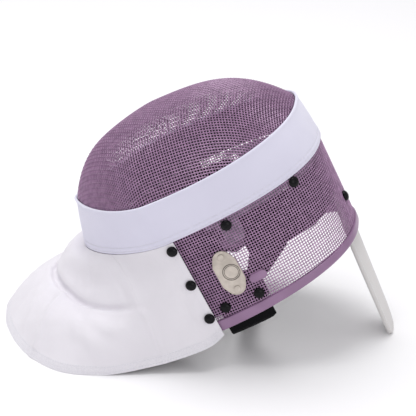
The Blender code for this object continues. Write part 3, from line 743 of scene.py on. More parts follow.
def make_materials():
    """All finishes by their short names. Each has its light tone and its dark tone."""
    return {
        "wire": lacquered_wire("lilac_wire", (0.47, 0.28, 0.46), (0.33, 0.19, 0.325)),
        # Painted shade: the dome's wires are a darker copy of the same lilac wire, to even out the
        # stronger light from above
        "face_wire": lacquered_wire("lilac_face_wire_painted_shade", (0.39, 0.23, 0.38), (0.28, 0.16, 0.275)),
        # Painted shade: the side of the wires that looks into the mask, dark in place of its shading
        "wire_inside": plastic("wire_inside_painted_shade", (0.030, 0.019, 0.031), (0.022, 0.014, 0.023),
                               0.6, 0.0, 0.2),
        # Painted shade: the inner side of the bib and of the trim band, dark in place of the shade
        # inside the mask
        "shade_inside": cloth("inside_painted_shade_cloth", (0.030, 0.028, 0.034), (0.022, 0.020, 0.025),
                        0.0007, 0.9, 0.0, gloss=0.1),
        "white_cloth": cloth("white_bib_cloth", (0.81, 0.785, 0.83), (0.75, 0.725, 0.77), 0.00055),
        "band_cloth": cloth("lavender_band_cloth", (0.735, 0.72, 0.845), (0.685, 0.67, 0.795),
                            0.00060, 0.7, 0.3),
        "hem": cloth("bib_hem_tape", (0.82, 0.80, 0.845), (0.76, 0.74, 0.79),
                     0.0008, 0.8, 0.3, 1.0, 700.0),
        "thread": cloth("white_thread", (0.78, 0.77, 0.82), (0.70, 0.69, 0.74),
                        0.0003, 0.6, 0.2, 0.2),
        "rim": plastic("purple_plastic_gloss", (0.285, 0.162, 0.285), (0.245, 0.135, 0.245), 0.34),
        "tab": plastic("purple_plastic_flat", (0.31, 0.178, 0.308), (0.265, 0.148, 0.263), 0.42),
        "black_plastic": plastic("black_plastic_gloss", (0.004, 0.004, 0.005),
                                 (0.002, 0.002, 0.003), 0.16, 0.0, 0.16),
        "black_cloth": cloth("black_pad_cloth", (0.006, 0.006, 0.007), (0.003, 0.003, 0.004),
                             0.0008, 0.95, 0.0, gloss=0.06),
        "grey_cloth": cloth("grey_liner_cloth", (0.33, 0.30, 0.35), (0.26, 0.235, 0.28),
                            0.0007, 0.9, 0.1),
        "elastic": cloth("black_elastic", (0.004, 0.004, 0.005), (0.002, 0.002, 0.003),
                         0.0016, 0.75, 0.0, 0.9, gloss=0.08),
        "metal": brushed_metal("cream_metal_satin", (0.60, 0.54, 0.48), (0.47, 0.42, 0.37)),
        "dark_metal": brushed_metal("dark_metal_satin", (0.15, 0.13, 0.115), (0.10, 0.088, 0.078)),
        "tongue": cloth("tongue_cover_cloth", (0.66, 0.64, 0.63), (0.60, 0.58, 0.57),
                        0.00045, 0.55, 0.15, 0.3),
    }


# Wire meshes

class Dome:
    """Height of the face mesh over the plane of the band."""

    def __init__(self):
        angles = np.linspace(0.0, 360.0, 1441)[:-1]
        top = band_top(outline(angles, BAND_ABOVE + 0 * angles)[:, 0])
        foot = wall(angles, top - FACE_MESH_DROP, MESH_MIDDLE)
        turns = np.arctan2(foot[:, 1], foot[:, 0] - DOME_PEAK)
        order = np.argsort(turns)
        self.turns = turns[order]
        self.radii = np.hypot(foot[:, 0] - DOME_PEAK, foot[:, 1])[order]
        self.feet = foot[:, 2][order]

    def share(self, u, y):
        turn = np.arctan2(y, u - DOME_PEAK)
        return np.hypot(u - DOME_PEAK, y) / np.interp(turn, self.turns, self.radii, period=2 * np.pi)

    def height(self, u, y):
        turn = np.arctan2(y, u - DOME_PEAK)
        foot = np.interp(turn, self.turns, self.feet, period=2 * np.pi)
        share = self.share(u, y)
        peak = band_top(DOME_PEAK)
        rise = DOME_HEIGHT * (1 - share ** DOME_POWER)
        return peak + (foot - peak) * share ** 2 + rise - MESH_WALL / 2

    def slopes(self, u, y, step=0.0004):
        along = (self.height(u + step, y) - self.height(u - step, y)) / (2 * step)
        across = (self.height(u, y + step) - self.height(u, y - step)) / (2 * step)
        return along, across

    def point(self, u, y):
        return np.stack([u, y, self.height(u, y)], axis=-1)

    def normal(self, u, y):
        along, across = self.slopes(u, y)
        return unit(np.stack([-along, -across, np.ones_like(along)], axis=-1))


def first_wire(dome, direction, count):
    """Places at equal steps along the dome from its peak, straight in one direction."""
    reach = np.linspace(0.0, WIRE_TRACE_REACH, WIRE_TRACE_STEPS)
    u, y = DOME_PEAK + reach * direction[0], reach * direction[1]
    lengths = path_lengths(dome.point(u, y))
    at = np.interp(np.arange(count) * WIRE_PITCH, lengths, reach)
    return np.stack([DOME_PEAK + at * direction[0], at * direction[1]], axis=-1)


def woven_quarter(dome, sign):
    """Crossings of one quarter of the net: wires keep their spacing and the cells shear."""
    rows, columns = NET_ALONG, NET_ACROSS
    net = np.full((rows, columns, 2), np.nan)
    net[:, 0] = first_wire(dome, (sign, 0.0), rows)
    net[0] = first_wire(dome, (0.0, 1.0), columns)
    for diagonal in range(2, rows + columns - 1):
        i = np.arange(max(1, diagonal - columns + 1), min(rows, diagonal))
        j = diagonal - i
        beside, below, corner = net[i - 1, j], net[i, j - 1], net[i - 1, j - 1]
        side, base = dome.point(*beside.T), dome.point(*below.T)
        guess = beside + below - corner
        for _ in range(8):
            u, y = guess[:, 0], guess[:, 1]
            along, across = dome.slopes(u, y)
            here = dome.point(u, y)
            errors, rates = [], []
            for anchor in (side, base):
                gap = here - anchor
                errors.append((gap ** 2).sum(axis=1) - WIRE_PITCH ** 2)
                rates.append((2 * (gap[:, 0] + gap[:, 2] * along), 2 * (gap[:, 1] + gap[:, 2] * across)))
            (a, b), (c, d) = rates
            scale = a * d - b * c
            scale = np.where(np.abs(scale) < 1e-12, 1e-12, scale)
            step = np.stack([(d * errors[0] - b * errors[1]) / scale,
                             (a * errors[1] - c * errors[0]) / scale], axis=-1)
            length = np.linalg.norm(step, axis=1, keepdims=True)
            guess = guess - step * np.minimum(1.0, WIRE_PITCH / np.maximum(length, 1e-9))
        net[i, j] = guess
    return net


def dome_net(dome):
    """Crossings of the whole dome, from chin to crown and from side to side."""
    quarters = [woven_quarter(dome, sign) for sign in (1.0, -1.0)]
    near = np.concatenate([quarters[1][:0:-1], quarters[0]])
    mirrored = near[:, :0:-1] * np.array([1.0, -1.0])
    return np.concatenate([mirrored, near], axis=1)


def dome_wire(dome, places, signs):
    """One wire through the crossings that lie on the dome, its ends led down behind the band."""
    share = dome.share(places[:, 0], places[:, 1])
    middle = len(places) // 2
    inside = share < WIRE_TRIM_SHARE
    if inside.sum() < 2 or not inside[max(middle - 1, 0):middle + 2].any():
        return None
    kept = np.flatnonzero(inside)
    low, high = kept[0], kept[-1]
    ends = []
    for here, there in ((low, low - 1), (high, high + 1)):
        if 0 <= there < len(places):
            way = (1.0 - share[here]) / max(share[there] - share[here], 1e-6)
            ends.append(places[here] + (places[there] - places[here]) * min(way, 1.0))
        else:
            ends.append(places[here])
    path = np.concatenate([ends[:1], places[low:high + 1], ends[1:]])
    u, y = path.T
    normals = dome.normal(u, y)
    points = dome.point(u, y)
    points[1:-1] += normals[1:-1] * signs[low:high + 1, None] * FACE_WIRE_WAVE
    outward = unit(np.stack([u - DOME_PEAK, y, 0 * u], axis=-1))[[0, -1]]
    tucks = np.array([(0.0, 0.0, -down) for down in WIRE_TUCKS])
    head, tail = points[0] + tucks[::-1], points[-1] + tucks
    normals[[0, -1]] = outward
    sides = np.concatenate([normals[:1], normals[:1], normals, normals[-1:], normals[-1:]])
    return to_world(np.concatenate([head, points, tail])), turn_to_world(sides)


def alternate(count, first):
    """Signs of a wire that goes over and under the ones it crosses."""
    return np.where((np.arange(count) + first) % 2, 1.0, -1.0)


def wire_piece(name, wires, radius, finish, stands_for):
    """Wires lacquered outside; the side that looks into the mask gets a dark finish, painted shade in
    place of its shading.
    """
    piece = tubes(name, wires, radius, finish, stands_for=stands_for)
    around = np.arange(len(piece.data.polygons)) % WIRE_SIDES
    second_finish(piece, "wire_inside", np.isin(around, WIRE_INNER_FACES))


def face_mesh():
    dome = Dome()
    net = dome_net(dome)
    rows, columns = net.shape[:2]
    across = [dome_wire(dome, net[i], alternate(columns, i)) for i in range(rows)]
    along = [dome_wire(dome, net[:, j], -alternate(rows, j)) for j in range(columns)]
    for name, wires in (("face_mesh_cross_wires", across), ("face_mesh_long_wires", along)):
        wires = [wire for wire in wires if wire]
        # The face mesh takes the darker copy of the wire, which is painted shade
        wire_piece(name, wires, FACE_WIRE_RADIUS, "face_wire", "face_mesh")


def side_mesh():
    count = 2 * round(loop_lengths()[1][-1] / WIRE_PITCH / 2)
    angles = even_angles(count)
    top = -BAND_BELOW + BAND_LAP
    heights = np.arange(top, -BAND_BELOW - SIDE_DEPTH - WIRE_IN_RIM, -WIRE_PITCH)
    low = side_bottom(loop_u(angles)) - WIRE_IN_RIM
    posts, hoops = [], []
    for i, (angle, end) in enumerate(zip(angles, low)):
        kept = heights[heights > end + WIRE_PITCH / 4]
        waves = np.r_[alternate(len(kept), i), 0.0] * SIDE_WIRE_WAVE
        f = np.r_[kept, end]
        angle = np.full_like(f, angle)
        points = wall(angle, f, MESH_MIDDLE + waves)
        posts.append((to_world(points), turn_to_world(wall_normal(angle, f))))
    for k, f in enumerate(heights):
        inside = low < f
        points = to_world(wall(angles, f, MESH_MIDDLE - alternate(count, k) * SIDE_WIRE_WAVE))
        normals = turn_to_world(wall_normal(angles, f + 0 * angles))
        if inside.all():
            hoops.append((points, normals, True))
            continue
        first = int(np.argmax(~inside))
        run = []
        for i in (np.arange(count + 1) + first) % count:
            if inside[i]:
                run.append(i)
                continue
            if len(run) > 1:
                hoops.append((points[run], normals[run]))
            run = []
    for name, wires in (("side_mesh_posts", posts), ("side_mesh_hoops", hoops)):
        wire_piece(name, wires, SIDE_WIRE_RADIUS, "wire", "side_mesh")


# Trim band and rim binding

def trim_band():
    angles = even_angles(BAND_COLUMNS)
    turns = np.radians(angles)
    ripples = np.sin(np.arange(BAND_COLUMNS) * 2 * np.pi * BAND_RIPPLES / BAND_COLUMNS)
    ripples *= BAND_RIPPLE * (0.5 + 0.5 * soft_noise(turns * 5, 21, 5))
    top = band_top(outline(angles, BAND_ABOVE + 0 * angles)[:, 0])
    height = top - band_bottom(loop_u(angles))
    rows = []
    for share, offset in BAND_SECTION:
        middling = 4 * share * (1 - share)
        bulge = BAND_BULGE * middling if offset > 0.001 else 0.0
        puckers = BAND_PUCKER * soft_noise(turns * 9 + share * 4, 3, 8, 1.0, 7.0)
        gathered = ripples * math.exp(-((share - BAND_RIPPLE_PLACE) / BAND_RIPPLE_REACH) ** 2)
        wave = puckers * middling + gathered if offset > 0.0015 else 0.0
        rows.append(to_world(wall(angles, top - height * share, offset + bulge + wave)))
    sections = np.stack(rows, axis=1)
    band = sweep("trim_band_cloth", sections, "band_cloth", stands_for="trim_band", sharp=70.0)
    corners = len(BAND_SECTION)
    around = np.arange(len(band.data.polygons)) % corners
    # The band's inner face gets the painted shade finish
    second_finish(band, "shade_inside", around >= corners - 2)
    for number, share in BAND_STITCH_PLACES:
        f = top - height * share
        path = wall(angles, f, BAND_WALL + BAND_BULGE * 4 * share * (1 - share))
        path = np.concatenate([path, path[:1]])
        normals = wall_normal(np.r_[angles, angles[0]], np.r_[f, f[0]])
        stitches(f"trim_band_stitches_{number}", to_world(path), turn_to_world(normals),
                 "thread")
    outside = sections[:, 4:-4]
    declare_sheet(band, np.concatenate([outside, outside[:1]]))


def rim_binding():
    angles = even_angles(RIM_COLUMNS)
    u = loop_u(angles)
    top = side_bottom(u) - SEAT_GAP
    height = RIM_HEIGHT - RIM_CROWN_THIN * np.maximum(u, 0.0) / CROWN_REACH
    section = [*RIM_SECTION, (1.0, 0.0), *[(share, -out) for share, out in RIM_SECTION[::-1]]]
    rows = [to_world(wall(angles, top - height * share, MESH_MIDDLE + RIM_WALL / 2 * out))
            for share, out in section]
    sweep("rim_binding_plastic", np.stack(rows, axis=1), "rim",
          stands_for="rim_binding", sharp=60.0)


# Bib

def curve_at(values, places):
    """Catmull-Rom curve through rows of values, at places counted in rows."""
    values = [np.asarray(v, float) for v in values]
    padded = [2 * values[0] - values[1]] + values + [2 * values[-1] - values[-2]]
    out = []
    for place in places:
        i = min(int(place), len(values) - 2)
        t = place - i
        a, b, c, d = padded[i:i + 4]
        out.append(0.5 * (2 * b + (c - a) * t + (2 * a - 5 * b + 4 * c - d) * t * t
                          + (3 * b - a - 3 * c + d) * t ** 3))
    return out


def bib_side_offset(f):
    share = -(f + BAND_BELOW) / SIDE_DEPTH
    return BIB_CLEAR + BIB_WALL + BIB_LOWER * min(max(share, 0.0), 1.0)


def bib_side_line(share):
    """Section of the bib that lies on the side mesh, from its seat (0) to its edge (1)."""
    angle = angle_at(BIB_EDGE_U - BIB_SEAT_WIDTH * (1 - share))
    drop = SEAT_DROP + (CORNER_DROP - SEAT_DROP) * share
    hem_f = -BAND_BELOW - SIDE_DEPTH - RIM_HEIGHT - drop
    crease_f = -BAND_BELOW + (hem_f + BAND_BELOW) * SIDE_CREASE
    crease, hem = [to_world(wall(angle, f, bib_side_offset(f))) for f in (crease_f, hem_f)]
    return angle, crease, hem, (0.0, 0.0, 0.0)


def bib_sections():
    chin = to_world(wall(180.0, -BAND_BELOW))
    corner = to_world(wall(angle_at(BIB_EDGE_U), -BAND_BELOW - SIDE_DEPTH - RIM_HEIGHT))

    def place(fore, side, up):
        x = chin[0] - BIB_REACH * fore if fore > 0 else chin[0] - (corner[0] - chin[0]) * fore
        y = HALF_WIDTH * min(side, 1.0) + BIB_FLARE * max(side - 1.0, 0.0)
        return np.array([x, -y, chin[2] * up])

    out = []
    for angle, kx, ky, kz, hx, hy, hz, near, far, skirt in BIB_SECTIONS:
        out.append((angle, place(kx, ky, kz), place(hx, hy, hz), (near, far, skirt)))
    out.append(bib_side_line(0.0))
    return out


def swollen(start, end, swell, lean, count):
    """Arc of count pieces from start towards end, that swells up and out of its chord."""
    chord = end - start
    side = np.cross(np.cross(chord, (0.0, 0.0, 1.0)), chord)
    control = start + chord * lean + unit(side) * swell * 2
    t = (np.arange(count) / count)[:, None]
    return (1 - t) ** 2 * start + 2 * t * (1 - t) * control + t * t * end


def bib_profile(top, crease, hem, neck, skirt):
    """Points of one section from the band to the hem, with close rows at the fold and the hem."""
    upper = swollen(top, crease, NECK_SWELL * neck, 0.5, PROFILE_STEPS)
    lower = swollen(crease, hem, SKIRT_SWELL * skirt, SKIRT_LEAN, PROFILE_STEPS)
    path = smoothed(np.concatenate([upper, lower, [hem]]), 3)
    lengths = path_lengths(path)
    around = lengths[PROFILE_STEPS] + np.array(FOLD_ROWS)
    above_hem = lengths[-1] - np.array(HEM_ROWS)
    neck_rows = np.linspace(0.0, around[0], NECK_ROWS + 1)[:-1]
    skirt_rows = np.linspace(around[-1], above_hem[0], SKIRT_ROWS + 2)[1:-1]
    return resampled(path, lengths, np.r_[neck_rows, around, skirt_rows, above_hem])


def bib_columns():
    """Places of the bib's columns, counted in sections, with close ones beside the seams."""
    even = np.linspace(0.0, LAST_SECTION, BIB_COLUMNS)
    for seam in (FRONT_SEAM, SIDE_SEAM):
        even = even[np.abs(even - seam) > max(SEAM_SAMPLES) + 0.01]
        even = np.r_[even, seam + np.array(SEAM_SAMPLES)]
    return np.sort(even)


def seam_relief(distance):
    """Height of a felled seam at a distance across it: a groove beside a raised fold."""
    rise, fall = [np.clip((distance - place) / reach, -30, 30) for place, reach in SEAM_FOLD_EDGES]
    fold = SEAM_FOLD / (1 + np.exp(-rise)) / (1 + np.exp(fall))
    return ridge(distance, *SEAM_GROOVE) + fold


def bib_grid():
    """Grid of the bib, and the place of each of its columns, counted in sections."""
    sections = bib_sections()
    places = bib_columns()
    seat_shares = np.arange(1, SEAT_COLUMNS + 1) / SEAT_COLUMNS
    seats = [bib_side_line(share) for share in seat_shares]
    columns = [curve_at([row[k] for row in sections], places) + [np.array(row[k]) for row in seats]
               for k in range(4)]
    near, far = [], []
    top_f = -BAND_BELOW - SEAT_GAP
    for angle, crease, hem, (near_neck, far_neck, skirt) in zip(*columns):
        top = to_world(wall(float(angle), top_f, bib_side_offset(top_f)))
        hem = above_floor(hem)
        near.append(bib_profile(top, crease, hem, near_neck, skirt))
        far.append(bib_profile(top, crease, hem, far_neck, skirt) * MIRROR)
    at = np.r_[places, LAST_SECTION + seat_shares]
    grid, at = np.array(near[::-1] + far[1:]), np.r_[at[::-1], -at[1:]]
    seated = np.clip(1 - np.abs(np.abs(at) - LAST_SECTION) / SEAT_REACH, 0, 1)[1:-1, None, None]
    for _ in range(SEAT_ROUNDS):
        middle = (grid[:-2] + grid[2:]) / 2
        grid[1:-1] += (middle - grid[1:-1]) * 0.5 * seated
    return grid, at


def fading(at, section, reach):
    """Weight of each column, which falls from 1 to 0 over the last reach before a section."""
    return np.clip((section - np.abs(at)) / reach, 0, 1)[:, None]


def ridge(distance, reach, height):
    """Smooth ridge across a distance, or a dent where the height is below zero."""
    return height * np.exp(-(distance / reach) ** 2)


def bib_relief(grid, at):
    """Height of the cloth over its plain grid: seams, border, swells, folds and unevenness."""
    rows = grid.shape[1]
    widths = np.linalg.norm(np.gradient(grid, axis=0), axis=-1)
    widths /= np.maximum(np.abs(np.gradient(at)), 1e-6)[:, None]
    relief = np.zeros(grid.shape[:2])
    down = np.arange(rows) / (rows - 1)
    skirt_only = np.clip((np.arange(rows) - FOLD_ROW) / 4, 0, 1)
    fade = np.clip(down * 6 - 0.5, 0, 1) * np.clip((1 - down) * 4, 0.25, 1)
    for sign in (1, -1):
        for seam, fold_side, rows_in in ((SIDE_SEAM, 1, np.ones(rows)), (FRONT_SEAM, -1, skirt_only)):
            across = (at * sign - seam)[:, None] * widths
            own_side = (at * sign > 0)[:, None] * rows_in
            relief += seam_relief(across * fold_side) * own_side
            reach = np.where(across < 0, SEAM_RIDGE_REACH, SEAM_RIDGE_REACH * SEAM_STEEP_SIDE)
            relief += SEAM_RIDGE * np.exp(-np.abs(across) / reach) * own_side * fade
    from_hem = np.linalg.norm(grid - grid[:, -1:], axis=-1)
    relief += HEM_STEP / (1 + np.exp((from_hem - HEM_WIDTH) / HEM_STEP_REACH))
    from_top = np.cumsum(np.linalg.norm(np.diff(grid, axis=1, prepend=grid[:, :1]), axis=-1), axis=1)
    from_fold = from_top - from_top[:, FOLD_ROW:FOLD_ROW + 1]
    # Border of the hem, neck tucked in above the fold and skirt rolled out below it, roll under
    # the band
    for distance, table, where in ((from_hem, HEM_GROOVES, 1.0),
                                   (from_fold, FOLD_SWELLS, fading(at, *FOLD_END)),
                                   (from_top, TOP_SWELLS, fading(at, *TOP_END))):
        for place, reach, height in table:
            relief += ridge(distance - place, reach, height) * where
    for start, start_drop, end, end_drop, reach, height in BIB_FOLDS:
        aside = (at[:, None] - start) * widths
        below = from_fold - start_drop
        run, fall = (end - start) * widths, end_drop - start_drop
        way = np.clip((aside * run + below * fall) / (run ** 2 + fall ** 2), 0, 1)
        away = np.hypot(aside - run * way, below - fall * way)
        relief += ridge(away, reach, height) * np.sin(np.pi * (0.15 + 0.7 * way))
    # Padded cloth is uneven, but not where it lies under the band or on the mesh
    inside = np.clip(down * 8, 0, 1) * np.clip((1 - down) * 5, 0, 1) * fading(at, *PUFF_END)
    x, y, z = grid[..., 0], grid[..., 1], grid[..., 2]
    puff = soft_noise(y * 70 + x * 25 + z * 30, 11) + soft_noise(x * 75 - y * 22 + z * 50, 12)
    relief += BIB_PUFF * puff * inside
    for centre, reach, height in BIB_DENTS:
        relief += ridge(np.linalg.norm(grid - np.array(centre), axis=-1), reach, height) * inside
    return relief


def bib():
    grid, at = bib_grid()
    out = -grid_normals(grid)
    relief = bib_relief(grid, at)
    outer = above_floor(grid + out * relief[..., None])
    inner = above_floor(grid + out * (np.minimum(relief, 0.0) - BIB_WALL)[..., None])
    piece = shell("bib_cloth", outer, inner, "white_cloth", bead=0.0004,
                  stands_for="bib", sharp=75.0)
    columns, rows = grid.shape[:2]
    quads = (columns - 1) * (rows - 1)
    bordered = np.tile(np.arange(rows - 1) >= HEM_ROW + 1, columns - 1)
    second_finish(piece, "hem", bordered)
    # The bib's inner side gets the painted shade finish
    second_finish(piece, "shade_inside", np.arange(2 * quads) >= quads)
    normals = -grid_normals(outer)
    for name, part in (("hem_stitches_1", np.s_[3:-3, -6]), ("hem_stitches_2", np.s_[3:-3, -3]),
                       ("edge_stitches_left", np.s_[3, 2:-4]),
                       ("edge_stitches_right", np.s_[-4, 2:-4])):
        stitches(f"bib_{name}", outer[part], normals[part], "thread")
    declare_sheet(piece, outer)


# Tongue

def tongue_frame():
    clear = SEAT_GAP * 2 + MESH_WALL + TONGUE_TOP_INSET
    start = to_world(wall(0.0, TONGUE_TOP_F, -clear))
    rim = to_world(wall(0.0, float(side_bottom(CROWN_REACH))))
    tip = np.array([rim[0] + TONGUE_TIP_X, 0.0, 0.0])
    length = np.linalg.norm(tip - start)
    along = (tip - start) / length
    return start, along, np.array([along[2], 0.0, -along[0]]), length


def tongue_rows(length):
    """Shares of the length, half widths and bows along the tongue."""
    straight = 1 - TONGUE_TIP_LENGTH / length
    share, width, bow = np.array(TONGUE_SECTIONS).T
    fine = np.linspace(0.0, 1.0, TONGUE_ROWS)
    halves = smoothed(np.interp(fine, share, width) * TONGUE_WIDTH / 2, 6)
    bows = np.interp(fine, share, bow) * TONGUE_BOW
    rows = list(zip(fine * straight, halves, bows))
    end = halves[-1]
    for turn in np.linspace(0, math.pi / 2, TONGUE_TIP_ROWS)[1:]:
        half = end * (TONGUE_TIP_FLAT + (1 - TONGUE_TIP_FLAT) * math.cos(turn))
        rows.append((straight + (1 - straight) * math.sin(turn), half, 0.0))
    return rows


def tongue():
    start, along, inward, length = tongue_frame()
    front = [*TONGUE_SIDE, *[(-side, deep) for side, deep in TONGUE_SIDE[-2::-1]]]
    profile = front + [(side, 1 - deep) for side, deep in front[-2:0:-1]]
    rows = tongue_rows(length)
    rings = []
    for k, (share, half, bow) in enumerate(rows):
        dimple = TONGUE_DIMPLE * math.sin(k * 0.9) * min(1.0, 4 * share)
        ring = []
        for side, deep in profile:
            depth = bow + deep * TONGUE_WALL + dimple * (1 - abs(side))
            place = start + along * length * share + inward * depth + np.array([0, side * half, 0])
            ring.append(above_floor(place))
        rings.append(ring)
    rings = np.array(rings)
    count, corners = rings.shape[:2]
    faces = grid_quads(count, corners, True)[:, ::-1].tolist()
    faces += [face[::-1] for face in caps(0, count, corners)]
    y = np.repeat((np.array([s for s, _ in profile]) * TONGUE_WIDTH / 2)[None], count, axis=0)
    x = np.repeat((np.array([s for s, _, _ in rows]) * length)[:, None], corners, axis=1)
    uvs = np.stack([x, y], axis=-1).reshape(-1, 2)
    piece = add_piece("tongue_cover", rings.reshape(-1, 3), faces, "tongue",
                      stands_for="tongue", uvs=uvs, sharp=60.0)
    for name, sign in (("left", -1), ("right", 1)):
        path = np.array([start + along * length * share
                         + inward * (bow + TONGUE_WALL * TONGUE_STITCH_DEPTH)
                         + np.array([0, sign * half * TONGUE_STITCH_PLACE, 0])
                         for share, half, bow in rows[1:-4]])
        outward = np.repeat(-inward[None], len(path), axis=0)
        stitches(f"tongue_stitches_{name}", path, outward, "thread", 0.0024, 0.0012, 0.00024)


# Press studs, plate and tabs

def wall_frame(angle, f, offset):
    """Corner matrix on the wall: z points out, y runs along f and x along the loop."""
    z = Vector(wall_normal(np.array(angle), np.array(f)))
    y = Vector((0.0, 0.0, 1.0))
    x = y.cross(z).normalized()
    y = z.cross(x).normalized()
    matrix = np.array(Matrix((x, y, z)))
    centre = wall(angle, f, offset)
    return lambda points: to_world(np.asarray(points) @ matrix + centre)


def lathe(profile, sides=32):
    """Points and faces turned from radius and height pairs; the first one is on the axis."""
    turns = np.arange(sides) * 2 * np.pi / sides
    points = [(0.0, 0.0, profile[0][1])]
    for radius, height in profile[1:]:
        points += [(radius * math.cos(t), radius * math.sin(t), height) for t in turns]
    faces = [[0, 1 + (i + 1) % sides, 1 + i][::-1] for i in range(sides)]
    rings = len(profile) - 1
    faces += (grid_quads(rings, sides, True)[:, ::-1] + 1).tolist()
    faces.append(caps(1, rings, sides)[1][::-1])
    return np.array(points), faces


def dome_profile(radius, height, edge, dimple):
    """Domed stud with a shallow ring and a dimple in its middle."""
    points = [(0.0, height - dimple), (radius * 0.12, height - dimple),
              (radius * 0.2, height - dimple * 0.4)]
    for turn in np.linspace(math.radians(16), math.pi / 2, 9):
        points.append((radius * math.sin(turn), edge + (height - edge) * math.cos(turn)))
    points += [(radius, edge * 0.4), (radius * 0.96, 0.0)]
    return points


def studs():
    points, faces = lathe(dome_profile(SNAP_RADIUS, SNAP_HEIGHT, 0.0009, 0.0003))

    def stud(name, angle, f, offset=0.0):
        add_piece(f"{name}_stud", wall_frame(angle, f, offset)(points), faces,
                  "black_plastic", stands_for=name)

    for side, sign in (("left", 1), ("right", -1)):
        for number, reach, depth in MESH_SNAPS:
            stud(f"mesh_snap_{side}_{number}", sign * angle_at(CROWN_REACH * reach), height_at(depth))
        for k in range(3):
            f = BIB_SNAP_FIRST_F - BIB_SNAP_PITCH * k
            stud(f"bib_snap_{side}_{k + 1}", sign * angle_at(BIB_EDGE_U - BIB_SNAP_INSET), f,
                 bib_side_offset(f) + SEAT_GAP)
    stud("crown_snap", 0.0, CROWN_SNAP_F)


def inset_outline(points, distance):
    """Closed outline moved in by a distance."""
    points = np.asarray(points, float)
    along = unit(np.roll(points, -1, axis=0) - np.roll(points, 1, axis=0))
    return points + np.stack([-along[:, 1], along[:, 0]], axis=-1) * distance


def layered_plate(outline_points, layers):
    """Points and faces of a plate from outlines inset and raised by layers, closed at both ends."""
    rings = [np.c_[inset_outline(outline_points, inset), np.full(len(outline_points), height)]
             for inset, height in layers]
    count = len(outline_points)
    faces = grid_quads(len(rings), count, True).tolist() + caps(0, len(rings), count)
    return np.concatenate(rings), faces


def arc(start, radius, steps=12):
    """Points on an arc that starts at an angle and ends as far before half a turn."""
    turns = [start + (math.pi - 2 * start) * k / steps for k in range(steps + 1)]
    return [(radius * math.cos(turn), radius * math.sin(turn)) for turn in turns]


def badge_outline():
    end = BADGE_END_WIDTH / 2
    points = []
    for sign in (1, -1):
        for share in np.linspace(-1, 1, 5):
            points.append((sign * BADGE_WIDTH / 2, sign * share * BADGE_STRAIGHT / 2))
        for x, y in arc(BADGE_END_START, end):
            points.append((sign * x, sign * (BADGE_LENGTH / 2 - end + y)))
    return points


def stadium(length, width):
    """Outline of a strip with round ends."""
    return [(sign * (length / 2 - width / 2 + y), -sign * x)
            for sign in (1, -1) for x, y in arc(0.0, width / 2)]


def badge():
    angle = angle_at(BADGE_U)
    place = wall_frame(angle, BADGE_F, SEAT_GAP)
    layers = [(inset, BADGE_WALL * share) for inset, share in BADGE_LAYERS]
    points, faces = layered_plate(badge_outline(), layers)
    add_piece("badge_plate_metal", place(points), faces, "metal",
              stands_for="badge_plate", sharp=30.0)
    turns = np.arange(64) * 2 * np.pi / 64
    out = turn_to_world(wall_normal(np.array(angle), np.array(BADGE_F)))
    for number, radius, thick in BADGE_RINGS:
        circle = np.stack([BADGE_RING_SHIFT + radius * np.cos(turns), radius * np.sin(turns),
                           0 * turns + BADGE_WALL * 0.8], axis=-1)
        tubes(f"badge_ring_{number}", [(place(circle), np.repeat(out[None], 64, axis=0), True)],
              thick, "dark_metal")
    points, faces = lathe(dome_profile(RIVET_RADIUS, RIVET_HEIGHT, 0.0003, 0.0001), 24)
    for number, side in (("1", 1), ("2", -1)):
        seat = wall_frame(angle, BADGE_F + side * RIVET_PITCH / 2, 2 * SEAT_GAP + BADGE_WALL)
        add_piece(f"badge_rivet_{number}_head", seat(points), faces, "metal",
                  stands_for=f"badge_rivet_{number}")


def strap_tabs():
    layers = [(inset, TAB_WALL * share) for inset, share in TAB_LAYERS]
    points, faces = layered_plate(stadium(TAB_LENGTH, TAB_WIDTH), layers)
    for side, sign in (("left", 1), ("right", -1)):
        place = wall_frame(sign * angle_at(TAB_U), TAB_F, SEAT_GAP)
        add_piece(f"strap_tab_{side}_plate", place(points), faces, "tab",
                  stands_for=f"strap_tab_{side}", sharp=50.0)


# Padding and strap

def pillow(name, angles, f, wall_size, finish, edge=0.35):
    """Padding inside the side mesh, full in its middle and thin at its edges."""
    columns, rows = angles.shape
    a = np.abs(np.linspace(-1, 1, columns))[:, None]
    b = np.abs(np.linspace(-1, 1, rows))[None]
    full = edge + (1 - edge) * (1 - a ** 6) * (1 - b ** 4)
    front = -SEAT_GAP - MESH_WALL - PAD_CLEAR
    sink = wall_size * (1 - full) * 0.35
    outer = to_world(wall(angles, f, front - sink))
    inner = to_world(wall(angles, f, front - sink - wall_size * full))
    piece = shell(f"{name}_cloth", outer, inner, finish, bead=wall_size * 0.1, stands_for=name)
    return piece, outer


def strip(table, columns, rows, top):
    """Angles and heights of a strip from its top down to the table's lower edge."""
    angles = np.sort(np.r_[np.linspace(-table[0][0], table[0][0], columns[0]), columns[1:]])
    places, depths = np.array(table[::-1]).T
    bottoms = np.interp(np.abs(angles), places, depths)
    depth = top + (bottoms - top)[:, None] * np.linspace(0, 1, rows)
    return np.repeat(angles[:, None], rows, axis=1), height_at(depth)


